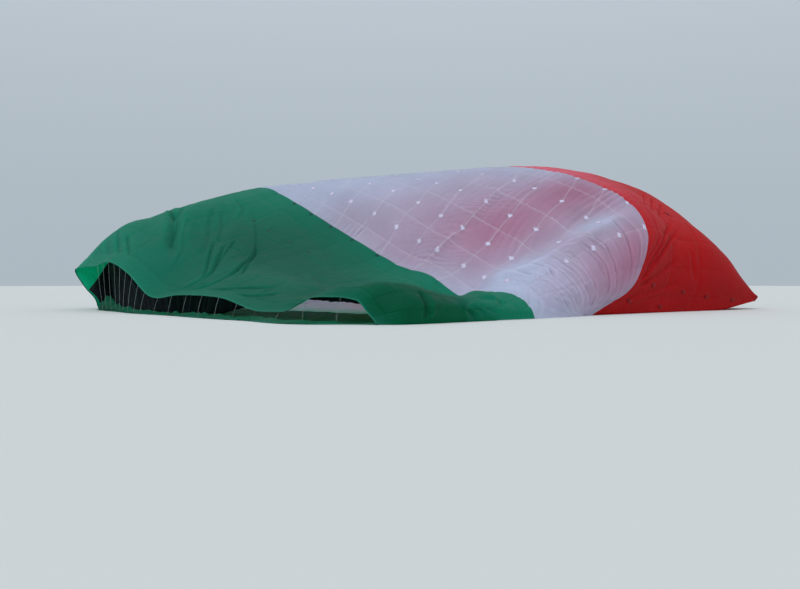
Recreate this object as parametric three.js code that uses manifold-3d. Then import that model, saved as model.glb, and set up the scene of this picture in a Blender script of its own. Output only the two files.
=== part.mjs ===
// A hot air balloon envelope, laid out on the ground and part filled with cold air.
// It is a three-stripe cushion of cloth: the mouth is the open side of the green stripe,
// the crown is the far edge of the red stripe. +X runs along the mouth to the near side,
// +Y from the mouth to the crown, +Z up. The ground is z = 0. Units are millimetres.
import * as THREE from 'three';
import { mergeVertices } from 'three/addons/utils/BufferGeometryUtils.js';
import Module from 'manifold-3d';

const wasm = await Module();
wasm.setup();

const metre = 1000;
const clothThickness = 10; // shell wall
const seamGap = 0.3; // each panel stops this far short of a seam
const sheetTop = clothThickness + 0.6; // the upper skin's foot rests just over the lower skin
const footMargin = 80; // the lower skin shows this far past the foot of the upper skin
const lowerHemWidth = 120;
const lowerHemThick = 14;
const hemRows = 0.12; // the mouth and crown hems are this share of a row
const cordRadius = 9;
const cordGap = 8; // from the hem to the cord's side
const tieRadius = 6;
const tieSpacing = 1600;
const tieFirst = -9.8 * metre, tieLast = 14.2 * metre;
const curtainThickness = 10;
const curtainGap = 5; // between neighbouring curtains, each side
const ventColumn = 18, ventRow = 23, ventRadius = 2.6 * metre;

// The cloth surface: sections across the envelope from the far foot to the near foot, in metres,
// every ninth of the way from the mouth to the crown. Each point is [x, y, z].
// shoulder and ridge are the points where the far wall and the near wall meet the top.
const sections = [
  { // mouth hem
    shoulder: 3, ridge: 14,
    points: [[-10.35, -17.4, 0], [-11.7, -17.7, 1.3], [-12.9, -17.9, 2.4], [-11.8, -18.0, 2.6],
      [-9.5, -18.0, 2.66], [-7.3, -18.0, 2.86], [-4.8, -18.0, 2.2], [-1.9, -18.0, 0.93],
      [1.4, -18.0, 1.05], [5.6, -18.0, 0.95], [8.7, -17.95, 0.42], [10.2, -17.8, 0.53],
      [11.5, -17.6, 0.89], [13.3, -17.0, 0.94], [14.1, -16.72, 0.93], [14.5, -16.55, 0.52],
      [14.75, -16.45, 0.24], [15.0, -16.4, 0]],
  },
  {
    shoulder: 3, ridge: 11,
    points: [[-11.6, -14.6, 0], [-13.5, -14.9, 2.5], [-13.4, -15.3, 4.3], [-11.8, -15.3, 5.3],
      [-8.0, -15.1, 5.05], [-4.0, -15.0, 3.7], [0.0, -15.0, 2.5], [4.0, -15.2, 1.9],
      [8.0, -15.2, 1.35], [11.5, -15.0, 1.05], [13.6, -15.0, 1.35], [14.8, -15.2, 1.62],
      [15.8, -15.2, 0.8], [15.6, -15.2, 0]],
  },
  {
    shoulder: 3, ridge: 11,
    points: [[-12.6, -11.0, 0], [-14.3, -11.0, 3.0], [-13.6, -11.2, 5.6], [-11.6, -11.3, 6.65],
      [-8.5, -11.4, 6.65], [-4.5, -11.4, 5.2], [0.0, -11.4, 3.6], [4.0, -11.4, 2.5], [8.0, -11.4, 1.5],
      [11.0, -11.4, 1.0], [13.0, -11.4, 1.05], [14.5, -11.4, 1.1], [15.6, -11.4, 0.6], [15.5, -11.4, 0]],
  },
  { // green to white seam
    shoulder: 3, ridge: 11,
    points: [[-13.6, -6.4, 0], [-14.8, -6.4, 3.2], [-13.6, -6.4, 6.2], [-11.2, -6.5, 7.9],
      [-8.7, -6.6, 8.15], [-4.2, -6.8, 6.6], [1.4, -7.0, 4.3], [5.7, -7.0, 2.6], [8.3, -7.1, 2.0],
      [10.7, -7.2, 0.95], [12.4, -7.3, 1.25], [14.0, -7.4, 1.15], [15.2, -7.4, 0.6], [15.5, -7.4, 0]],
  },
  {
    shoulder: 3, ridge: 10,
    points: [[-13.8, -2.6, 0], [-15.0, -2.8, 3.4], [-13.6, -3.2, 6.6], [-10.9, -3.6, 8.25],
      [-7.0, -3.9, 8.6], [-3.2, -4.0, 8.1], [1.6, -4.4, 6.85], [5.9, -4.7, 5.0], [9.7, -4.9, 3.3],
      [12.8, -5.1, 2.25], [14.0, -5.2, 2.0], [15.1, -5.4, 1.1], [15.3, -5.7, 0]],
  },
  {
    shoulder: 3, ridge: 10,
    points: [[-13.9, 1.0, 0], [-15.0, 0.8, 3.5], [-13.6, 0.4, 6.7], [-10.6, 0.0, 8.4],
      [-6.0, -0.2, 9.0], [-2.0, -0.4, 8.88], [1.2, -0.5, 8.4], [4.8, -0.6, 7.6], [8.9, -0.9, 6.0],
      [12.4, -1.1, 4.35], [13.7, -1.3, 3.6], [14.8, -1.9, 2.0], [15.0, -3.4, 0]],
  },
  { // white to red seam
    shoulder: 3, ridge: 9,
    points: [[-13.6, 4.4, 0], [-14.7, 4.4, 3.4], [-13.2, 4.4, 6.5], [-10.2, 4.3, 8.1],
      [-5.0, 4.2, 9.1], [0.0, 4.2, 9.4], [5.5, 4.2, 9.0], [9.2, 4.4, 8.0], [12.6, 4.3, 6.4],
      [14.1, 4.0, 4.7], [14.7, 2.8, 2.8], [14.8, 1.2, 1.2], [14.4, -0.5, 0]],
  },
  {
    shoulder: 3, ridge: 9,
    points: [[-13.2, 8.0, 0], [-14.2, 8.0, 2.9], [-12.8, 8.0, 5.8], [-10.0, 8.0, 7.6],
      [-5.0, 8.1, 8.8], [0.0, 8.2, 9.25], [5.0, 8.3, 9.1], [9.2, 8.3, 8.1], [12.2, 8.0, 6.3],
      [13.9, 7.3, 4.2], [14.6, 6.0, 1.9], [14.6, 4.6, 0]],
  },
  {
    shoulder: 3, ridge: 9,
    points: [[-12.8, 11.4, 0], [-13.6, 11.6, 2.1], [-12.3, 11.9, 4.3], [-9.6, 12.1, 5.9],
      [-5.0, 12.2, 7.0], [0.0, 12.4, 7.5], [5.0, 12.5, 7.5], [9.4, 12.5, 6.7], [12.5, 12.3, 5.0],
      [14.2, 11.9, 3.7], [15.0, 11.0, 1.7], [14.9, 9.9, 0]],
  },
  { // crown edge
    shoulder: 3, ridge: 9,
    points: [[-12.6, 14.4, 0], [-12.6, 14.8, 0], [-12.1, 15.2, 0], [-9.0, 15.5, 0], [-5.0, 15.6, 0],
      [0.0, 15.7, 0], [5.0, 15.7, 0.02], [9.0, 15.6, 0.12], [12.0, 15.35, 0.42], [14.35, 15.15, 0.92],
      [15.2, 14.8, 0.84], [15.42, 13.7, 0.42]],
  },
];

// The mouth edge of the lower skin between the feet of the hem, in metres.
const frontEdge = [[-9.6, -17.55], [-8.2, -17.75], [-6.6, -17.85], [-4.9, -18.15], [-3.2, -18.35], [-1.0, -18.3],
  [1.6, -18.3], [4.2, -18.5], [6.6, -18.55], [8.8, -18.5], [10.6, -18.75], [12.0, -18.75], [13.0, -18.3],
  [13.7, -17.4], [14.3, -16.75]];

// Cells of the cloth grid. A column runs from the mouth to the crown, a row across the envelope.
const cells = { farWall: 6, top: 24, nearWall: 5, perSection: 3 };
const columns = cells.farWall + cells.top + cells.nearWall;
const shoulderColumn = cells.farWall;
const ridgeColumn = cells.farWall + cells.top;
const rows = (sections.length - 1) * cells.perSection;

// Points at even spacing along each part of a section: far wall, top, near wall.
function gridPointsOf(section) {
  const fine = 40;
  const curve = new THREE.CatmullRomCurve3(
    section.points.map(([x, y, z]) => new THREE.Vector3(x, y, z).multiplyScalar(metre)), false, 'centripetal');
  const spans = section.points.length - 1;
  const dense = Array.from({ length: spans * fine + 1 }, (_, i) => curve.getPoint(i / (spans * fine)));
  const parts = [
    [0, section.shoulder, cells.farWall],
    [section.shoulder, section.ridge, cells.top],
    [section.ridge, spans, cells.nearWall],
  ];
  const found = [dense[0]];
  for (const [first, last, count] of parts) {
    const stretch = dense.slice(first * fine, last * fine + 1);
    const along = [0];
    for (let i = 1; i < stretch.length; i++) along.push(along[i - 1] + stretch[i].distanceTo(stretch[i - 1]));
    for (let k = 1; k <= count; k++) {
      const wanted = (along.at(-1) * k) / count;
      let i = 1;
      while (i < along.length - 1 && along[i] < wanted) i++;
      const share = (wanted - along[i - 1]) / (along[i] - along[i - 1]);
      found.push(stretch[i - 1].clone().lerp(stretch[i], share));
    }
  }
  return found;
}

const sectionPoints = sections.map(gridPointsOf);
const columnCurves = sectionPoints[0].map((_, column) => {
  const curve = new THREE.CatmullRomCurve3(sectionPoints.map((points) => points[column]), false, 'catmullrom', 0.5);
  return curve;
});
const columnLengths = columnCurves.map((curve) => curve.getLength());

// A point of the outer surface. column counts grid columns, row counts grid rows; both may be fractions,
// and past the hem or the crown edge the surface runs straight on.
function surfacePoint(column, row) {
  const first = Math.min(Math.max(Math.floor(column), 0), columns - 1);
  const at = (index) => {
    const curve = columnCurves[index];
    const inside = Math.min(Math.max(row, 0), rows);
    const point = curve.getPoint(inside / rows);
    if (inside !== row) {
      const step = 0.05;
      const inner = curve.getPoint((inside === 0 ? step : rows - step) / rows);
      point.addScaledVector(point.clone().sub(inner), Math.abs(row - inside) / step);
    }
    return point;
  };
  return at(first).lerp(at(first + 1), column - first);
}

function surfaceNormal(column, row) {
  const step = 0.25;
  const c0 = Math.max(column - step, 0), c1 = Math.min(column + step, columns);
  const r0 = Math.max(row - step, 0), r1 = Math.min(row + step, rows);
  const across = surfacePoint(c1, row).sub(surfacePoint(c0, row));
  const back = surfacePoint(column, r1).sub(surfacePoint(column, r0));
  return across.cross(back).normalize();
}

// A thin sheet bent onto a surface, closed all round, with the same triangles on both faces.
// at(u, v, depth) gives the place for u and v from 0 to 1, and depth 0 on the outer face, 1 on the inner.
function bentSheet(uCells, vCells, at) {
  const wide = uCells + 1, count = wide * (vCells + 1);
  const places = [];
  for (const depth of [0, 1])
    for (let j = 0; j <= vCells; j++)
      for (let i = 0; i <= uCells; i++) places.push(...at(i / uCells, j / vCells, depth).toArray());
  const faces = [];
  const quad = (a, b, c, d) => faces.push(a, b, c, a, c, d);
  for (let j = 0; j < vCells; j++)
    for (let i = 0; i < uCells; i++) {
      const a = j * wide + i, b = a + 1, c = a + wide + 1, d = a + wide;
      quad(a, b, c, d);
      faces.push(count + a, count + c, count + b, count + a, count + d, count + c);
    }
  const rim = [];
  for (let i = 0; i < uCells; i++) rim.push(i);
  for (let j = 0; j < vCells; j++) rim.push(j * wide + uCells);
  for (let i = uCells; i > 0; i--) rim.push(vCells * wide + i);
  for (let j = vCells; j > 0; j--) rim.push(j * wide);
  rim.forEach((a, k) => {
    const b = rim[(k + 1) % rim.length];
    // opposite edges are split alike, so that neighbouring sheets meet with flat gaps
    if (b > a) quad(count + a, count + b, b, a);
    else quad(a, count + a, count + b, b);
  });
  const geometry = new THREE.BufferGeometry();
  geometry.setAttribute('position', new THREE.Float32BufferAttribute(places, 3));
  geometry.setIndex(faces);
  geometry.computeVertexNormals();
  return geometry;
}

// Every whole number from one value to another, with the two values themselves.
function wholeStops(first, last) {
  const stops = [first];
  for (let whole = Math.floor(first) + 1; whole < last; whole++) stops.push(whole);
  return [...stops, last];
}

// A panel of the upper skin between two columns and two rows. from and to are depths below the surface.
function skinPanel(column0, column1, row0, row1, from = 0, to = clothThickness) {
  const rowStops = wholeStops(row0, row1);
  const uCells = column1 - column0, vCells = rowStops.length - 1;
  return bentSheet(uCells, vCells, (u, v, depth) => {
    let column = column0 + uCells * u;
    let row = rowStops[Math.round(v * vCells)];
    const wide = surfacePoint(Math.min(column + 0.5, columns), row).distanceTo(surfacePoint(Math.max(column - 0.5, 0), row));
    const long = columnLengths[Math.round(column)] / rows;
    if (u === 0 && column0 > 0) column += seamGap / wide;
    if (u === 1 && column1 < columns) column -= seamGap / wide;
    if (v === 0 && row0 > 0) row += seamGap / long;
    if (v === 1 && row1 < rows) row -= seamGap / long;
    const normal = surfaceNormal(column, row);
    const point = surfacePoint(column, row).addScaledVector(normal, -(from + (to - from) * depth));
    point.z = Math.max(point.z, sheetTop + clothThickness * Math.max(normal.z, 0) * (1 - depth));
    return point;
  });
}

// The lower skin runs between the feet of the walls. Its crown edge is lifted with the upper skin's edge,
// and its mouth edge bulges forward past the hem.
const crownPoints = Array.from({ length: columns + 1 }, (_, column) => surfacePoint(column, rows));
const underEdge = clothThickness + 4;
const liftAt = (row) => {
  const height = (at) => Math.max(clothThickness, surfacePoint(columns, at).z - underEdge) - clothThickness;
  return height(row) / height(rows);
};
const frontCells = 28; // cells along the lower skin's mouth edge
const hemFeet = [surfacePoint(0, 0), surfacePoint(columns, 0)];
const frontCurve = new THREE.CatmullRomCurve3([hemFeet[0].clone(),
  ...frontEdge.map(([x, y]) => new THREE.Vector3(x * metre, y * metre, 0)), hemFeet[1].clone()], false, 'centripetal');
function footPoint(u, row) {
  const point = surfacePoint(0, row).lerp(surfacePoint(columns, row), u);
  const hemShare = Math.max(0, 1 - row);
  const bulge = frontCurve.getPointAt(u).sub(hemFeet[0].clone().lerp(hemFeet[1], u));
  return point.addScaledVector(bulge, hemShare).setZ(clothThickness);
}
function lowerPanel(rowStops, uCells, reachesCrown) {
  const vCells = rowStops.length - 1;
  const row0 = rowStops[0];
  return bentSheet(uCells, vCells, (u, v, depth) => {
    let row = rowStops[Math.round(v * vCells)];
    if (v === 0 && row0 > 0) row += seamGap / 1200;
    if (v === 1 && !reachesCrown) row -= seamGap / 1200;
    const far = footPoint(0, row), near = footPoint(1, row);
    const point = footPoint(u, row);
    if (reachesCrown) {
      const lift = liftAt(row);
      const crown = crownPoints[Math.round(u * columns)];
      const straight = crownPoints[0].clone().lerp(crownPoints[columns], u);
      point.x += (crown.x - straight.x) * lift;
      point.y += (crown.y - straight.y) * lift;
      point.z += (Math.max(clothThickness, crown.z - underEdge) - clothThickness) * lift;
      if (v === 1) point.y += footMargin;
    }
    const outward = near.clone().sub(far).setZ(0).setLength(footMargin * (reachesCrown ? 1 - liftAt(row) : 1) + 1e-3);
    if (u === 0) point.sub(outward);
    if (u === 1) point.add(outward);
    point.z -= clothThickness * depth;
    return point;
  });
}

// A round cord through a list of points.
function cordAlong(points, radius, sides = 6) {
  const section = new THREE.Shape(Array.from({ length: sides }, (_, i) => {
    const turn = (2 * Math.PI * i) / sides;
    return new THREE.Vector2(radius * Math.cos(turn), radius * Math.sin(turn));
  }));
  return new THREE.ExtrudeGeometry(section, { steps: points.length - 1, bevelEnabled: false, extrudePath: evenPath(points) });
}
// A path whose parameter passes one point per step.
function evenPath(points) {
  const path = new THREE.Curve();
  path.getPoint = (t, target = new THREE.Vector3()) => {
    const place = Math.min(Math.max(t, 0), 1) * (points.length - 1);
    const i = Math.min(Math.floor(place + 1e-9), points.length - 2);
    return target.copy(points[i]).lerp(points[i + 1], place - i);
  };
  path.getPointAt = (t, target) => path.getPoint(t, target);
  path.getTangentAt = (t, target = new THREE.Vector3()) => {
    const step = 0.5 / (points.length - 1);
    return target.copy(path.getPoint(Math.min(t + step, 1))).sub(path.getPoint(Math.max(t - step, 0))).normalize();
  };
  path.getTangent = path.getTangentAt;
  return path;
}

const { Manifold, Mesh } = wasm;
function toSolid(geometry) {
  const bare = new THREE.BufferGeometry();
  bare.setAttribute('position', geometry.index ? geometry.toNonIndexed().attributes.position : geometry.attributes.position);
  const merged = mergeVertices(bare, 1e-3);
  return new Manifold(new Mesh({
    numProp: 3, vertProperties: merged.attributes.position.array, triVerts: new Uint32Array(merged.index.array),
  }));
}
function toGeometry(solid) {
  const mesh = solid.getMesh();
  const geometry = new THREE.BufferGeometry();
  geometry.setAttribute('position', new THREE.BufferAttribute(new Float32Array(mesh.vertProperties), 3));
  geometry.setIndex(new THREE.BufferAttribute(new Uint32Array(mesh.triVerts), 1));
  geometry.computeVertexNormals();
  return geometry;
}
const unionOf = (geometries) => toGeometry(geometries.map(toSolid).reduce((a, b) => a.add(b)));

const palette = {
  green: 0x0f6b4a, white: 0xd9cfdc, red: 0xb3161c, black: 0x15141c, webbing: 0x1d5a44, rope: 0xc9c4ae,
};
const group = new THREE.Group();
function add(name, geometry, colour, roughness = 0.7) {
  const mesh = new THREE.Mesh(geometry, new THREE.MeshStandardMaterial({ color: palette[colour], roughness, metalness: 0 }));
  mesh.name = name;
  group.add(mesh);
}

// The skins, stripe by stripe. Each stripe's top is cut into two bands of four panels.
const third = rows / 3;
const stripes = [['green', 0], ['white', third], ['red', 2 * third]]; // colour, first row
const lowerRows = { green: [0, 7], white: [7, 2 * third] }; // the lower skin's green stripe is shorter than the top's
const bandRows = 4; // rows in a stripe's first band
const topEdges = [0, 6, 12, 18, 24].map((cell) => cell + shoulderColumn);
for (const [colour, start] of stripes) {
  const first = start === 0 ? hemRows : start;
  const end = start + third === rows ? rows - hemRows : start + third;
  const bands = [['a', first, start + bandRows], ['b', start + bandRows, end]]; // band, first row, last row
  for (const [band, row0, row1] of bands)
    for (let i = 0; i + 1 < topEdges.length; i++)
      add(`top_${colour}_${band}${i + 1}`, skinPanel(topEdges[i], topEdges[i + 1], row0, row1), colour);
  add(`far_wall_${colour}`, skinPanel(0, shoulderColumn, first, end), colour);
  add(`near_wall_${colour}`, skinPanel(ridgeColumn, columns, first, end), colour);
  const reachesCrown = start + third === rows;
  const rowStops = reachesCrown ? [18, 20, 22, 24, 25, 26, 27, 27] : wholeStops(...lowerRows[colour]);
  const across = { green: frontCells, white: 6, red: columns }[colour];
  add(`lower_${colour}`, lowerPanel(rowStops, across, reachesCrown), colour);
}

// Bound edges: a tape round the mouth, one along the crown edge, and one along the lower skin's mouth edge.
add('mouth_hem', skinPanel(0, columns, 0, hemRows), 'webbing');
add('crown_hem', skinPanel(0, columns, rows - hemRows, rows), 'red');
const frontRun = Array.from({ length: frontCells + 1 }, (_, i) => footPoint(i / frontCells, 0).setZ(lowerHemThick));
const frontMargin = hemFeet[1].clone().sub(hemFeet[0]).setZ(0).setLength(footMargin);
frontRun[0].sub(frontMargin);
frontRun[frontCells].add(frontMargin);
// A point at a distance before the lower skin's mouth edge, clear of both neighbouring cells' lines.
function beforeFront(i, distance) {
  const square = (a, b) => new THREE.Vector3(b.y - a.y, a.x - b.x, 0).normalize();
  const first = square(frontRun[Math.max(i - 1, 0)], frontRun[Math.max(i, 1)]);
  const second = square(frontRun[Math.min(i, frontCells - 1)], frontRun[Math.min(i + 1, frontCells)]);
  const middle = first.clone().add(second).normalize();
  return frontRun[i].clone().addScaledVector(middle, distance / middle.dot(first));
}
add('lower_hem', bentSheet(frontCells, 1, (u, v, depth) => {
  const point = beforeFront(Math.round(u * frontCells), v === 1 ? seamGap : seamGap + lowerHemWidth);
  point.z -= lowerHemThick * depth;
  return point;
}), 'webbing');

// Mouth ties: a cord along the front of the hem carries a row of thin ropes down to the lower hem.
const hemCord = [];
for (let column = 1; column < columns; column++)
  hemCord.push(surfacePoint(column, 0).add(new THREE.Vector3(0, -cordRadius - cordGap, 0)));
const tieParts = [cordAlong(hemCord, cordRadius)];
const tieFeet = frontRun.map((_, i) => beforeFront(i, seamGap + lowerHemWidth / 2));
for (let x = tieFirst; x < tieLast; x += tieSpacing) {
  const i = hemCord.findIndex((point, k) => k > shoulderColumn - 2 && hemCord[k + 1] && hemCord[k + 1].x > x && point.x <= x);
  if (i < 0) continue;
  const share = (x - hemCord[i].x) / (hemCord[i + 1].x - hemCord[i].x);
  const top = hemCord[i].clone().lerp(hemCord[i + 1], share);
  if (top.z < 300) continue;
  const k = tieFeet.findIndex((point, i) => tieFeet[i + 1] && tieFeet[i + 1].x > x && point.x <= x);
  const bottom = tieFeet[k].clone().lerp(tieFeet[k + 1], (x - tieFeet[k].x) / (tieFeet[k + 1].x - tieFeet[k].x));
  bottom.z = lowerHemThick + seamGap;
  const lean = top.clone().sub(bottom).normalize().z;
  bottom.z += tieRadius * Math.sqrt(1 - lean ** 2); // the low side of the slanted end just clears the hem
  tieParts.push(cordAlong([bottom, top], tieRadius));
}
add('mouth_ties', unionOf(tieParts), 'rope');

// The black mouth curtain hangs from the upper skin a little inside the mouth. Its head runs along cell edges
// of the skin, [column, row], and its foot lies on the lower skin; near the roll it is only a short valance.
const head = [[2, 0.12], [3, 1], [4, 2]];
for (let column = 5; column <= 29; column++) head.push([column, 2]);
function curtainPanel(first, last, footAt) {
  return bentSheet(last - first, 3, (u, v, depth) => {
    let place = first + (last - first) * u;
    if (u === 0) place += curtainGap / 1000;
    if (u === 1) place -= curtainGap / 1000;
    const i = Math.min(Math.floor(place), head.length - 2), share = place - i;
    const column = head[i][0] + (head[i + 1][0] - head[i][0]) * share;
    const row = head[i][1] + (head[i + 1][1] - head[i][1]) * share + ((depth - 0.5) * curtainThickness) / 1200;
    const top = surfacePoint(column, row).addScaledVector(surfaceNormal(column, row), -(clothThickness + seamGap * 4));
    const foot = footAt(place, top);
    foot.y += (depth - 0.5) * curtainThickness;
    return foot.lerp(top, v);
  });
}
const wave = (place) => 130 * Math.sin(place * 2.1);
const footStart = -10.3 * metre, footPitch = 740;
const onGround = (place) => new THREE.Vector3(footStart + footPitch * place, -17.1 * metre + wave(place), sheetTop);
const short = (place, top) => new THREE.Vector3(top.x, top.y + wave(place) * 0.5, Math.min(top.z - 150, 880 + 60 * Math.cos(place * Math.PI)));
const curtains = [['mouth_curtain_1', 0, 6, onGround], ['mouth_curtain_2', 6, 11, onGround], ['mouth_curtain_3', 11, 18, onGround],
  ['mouth_valance', 18, 27, short]]; // name, first and last place along the head, its foot
for (const [name, first, last, footAt] of curtains) add(name, curtainPanel(first, last, footAt), 'black');

// The parachute vent lies over the red stripe near the crown, with a tape round it.
const ventCentre = surfacePoint(ventColumn, ventRow), ventAxis = surfaceNormal(ventColumn, ventRow);
function ventCylinder(radius) {
  const cylinder = new THREE.CylinderGeometry(radius, radius, 4000, 32);
  cylinder.applyQuaternion(new THREE.Quaternion().setFromUnitVectors(new THREE.Vector3(0, 1, 0), ventAxis));
  cylinder.translate(ventCentre.x, ventCentre.y, ventCentre.z);
  return toSolid(cylinder);
}
const ventLayer = (from, to) => toSolid(skinPanel(ventColumn - 5, ventColumn + 5, ventRow - 4, ventRow + 4, -to, -from));
add('vent_panel', toGeometry(ventLayer(0.4, clothThickness).intersect(ventCylinder(ventRadius))), 'red');
add('vent_tape', toGeometry(ventLayer(0.4, clothThickness + 4).intersect(
  ventCylinder(ventRadius + 180).subtract(ventCylinder(ventRadius + seamGap)))), 'webbing');

// The part's origin is the middle of its box, on the ground.
const box = new THREE.Box3().setFromObject(group);
group.position.set(-(box.min.x + box.max.x) / 2, -(box.min.y + box.max.y) / 2, -box.min.z);

export default group;
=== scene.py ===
import math
from functools import partial

import bmesh
import bpy
import numpy as np
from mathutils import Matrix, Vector


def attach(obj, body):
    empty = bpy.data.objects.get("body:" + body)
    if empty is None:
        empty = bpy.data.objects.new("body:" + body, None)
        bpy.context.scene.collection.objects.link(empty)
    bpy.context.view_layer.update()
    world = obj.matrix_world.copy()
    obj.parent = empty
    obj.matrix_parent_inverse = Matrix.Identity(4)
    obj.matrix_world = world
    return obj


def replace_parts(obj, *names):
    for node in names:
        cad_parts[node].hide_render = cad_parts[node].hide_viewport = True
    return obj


# The envelope of a hot air balloon, laid on the ground and part filled with cold air.
# x runs along the mouth to the near side, y from the mouth to the crown, z up, in metres.

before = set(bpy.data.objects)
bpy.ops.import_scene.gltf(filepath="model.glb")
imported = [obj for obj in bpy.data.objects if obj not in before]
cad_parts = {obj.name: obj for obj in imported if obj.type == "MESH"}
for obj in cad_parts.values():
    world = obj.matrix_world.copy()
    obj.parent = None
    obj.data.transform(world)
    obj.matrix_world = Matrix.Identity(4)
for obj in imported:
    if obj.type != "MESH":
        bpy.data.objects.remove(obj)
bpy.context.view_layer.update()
print("frame loaded")

# Camera, floor and light

camera = {
    "place": (40.109, -36.14, 1.65), "ahead": (-0.75, 0.661, -0.01362), "lens": 37.98, "clip": (0.5, 2000),
}
studio = {
    "floorSize": 900.0, "floor": "d3d4cf",
    "skyLow": "b4c0c9", "skyHigh": "dde7f2", "skyStrength": 0.92,
    "lampStrength": 1.3, "lampSpread": 60, "lampFrom": (0.25, -0.75, 1.0), "lamp": "f6f8ff",
}


def linear(hexColour):
    # sRGB hex to the linear colour that nodes use
    parts = [int(hexColour[i:i + 2], 16) / 255 for i in (0, 2, 4)]
    return tuple(c / 12.92 if c <= 0.04045 else ((c + 0.055) / 1.055) ** 2.4 for c in parts) + (1.0,)


def addNode(tree, kind, links=None, values=None, **settings):
    # one node with its settings, linked inputs and fixed inputs; a node as a source means its first output
    node = tree.nodes.new("ShaderNode" + kind)
    for name, value in settings.items():
        setattr(node, name, value)
    for socket, source in (links or {}).items():
        tree.links.new(getattr(source, "outputs", [source])[0], node.inputs[socket])
    for socket, value in (values or {}).items():
        node.inputs[socket].default_value = value
    return node


def emptyTree(owner):
    # clears the nodes of a material or a world, and gives the function that adds new ones
    owner.use_nodes = True
    owner.node_tree.nodes.clear()
    return partial(addNode, owner.node_tree)


def linked(name, data):
    # an object at the origin of the scene
    thing = bpy.data.objects.new(name, data)
    bpy.context.scene.collection.objects.link(thing)
    return thing


def meshFrom(bm, name):
    mesh = bpy.data.meshes.new(name)
    bm.to_mesh(mesh)
    bm.free()
    return mesh


def aim(thing, heading, axis):
    thing.rotation_mode = "QUATERNION"
    thing.rotation_quaternion = Vector(heading).to_track_quat(axis, "Y")


def setUpCamera():
    data = bpy.data.cameras.new("camera")
    data.lens, data.sensor_width = camera["lens"], 36
    data.clip_start, data.clip_end = camera["clip"]
    eye = linked("camera", data)
    eye.location = camera["place"]
    aim(eye, camera["ahead"], "-Z")
    bpy.context.scene.camera = eye


def setUpStudio():
    bm = bmesh.new()
    bmesh.ops.create_grid(bm, x_segments=2, y_segments=2, size=studio["floorSize"] / 2)
    floor = linked("floor", meshFrom(bm, "floor"))
    paint = bpy.data.materials.new("matt floor paint")
    add = emptyTree(paint)
    shader = add("BsdfPrincipled", None,
                 {"Base Color": linear(studio["floor"]), "Roughness": 0.95, "Specular IOR Level": 0.1})
    add("OutputMaterial", {"Surface": shader})
    floor.data.materials.append(paint)

    # an even overcast sky, lighter overhead
    world = bpy.data.worlds.new("overcast")
    bpy.context.scene.world = world
    add = emptyTree(world)
    parts = add("SeparateXYZ", {"Vector": add("TexCoord")})
    height = add("MapRange", {"Value": parts.outputs["Z"]}, {"From Min": 0.0, "From Max": 0.8},
                 interpolation_type="SMOOTHSTEP")
    ends = {6: linear(studio["skyLow"]), 7: linear(studio["skyHigh"])}
    colour = add("Mix", {0: height}, ends, data_type="RGBA")
    light = add("Background", {"Color": colour.outputs[2]}, {"Strength": studio["skyStrength"]})
    add("OutputWorld", {"Surface": light})

    data = bpy.data.lights.new("soft lamp", "SUN")
    data.energy, data.angle = studio["lampStrength"], math.radians(studio["lampSpread"])
    data.color = linear(studio["lamp"])[:3]
    aim(linked("soft lamp", data), studio["lampFrom"], "Z")
    bpy.context.scene.view_settings.view_transform = "Standard"


setUpCamera()
setUpStudio()
print("camera, floor and light are set")

# The cloth surface

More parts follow.
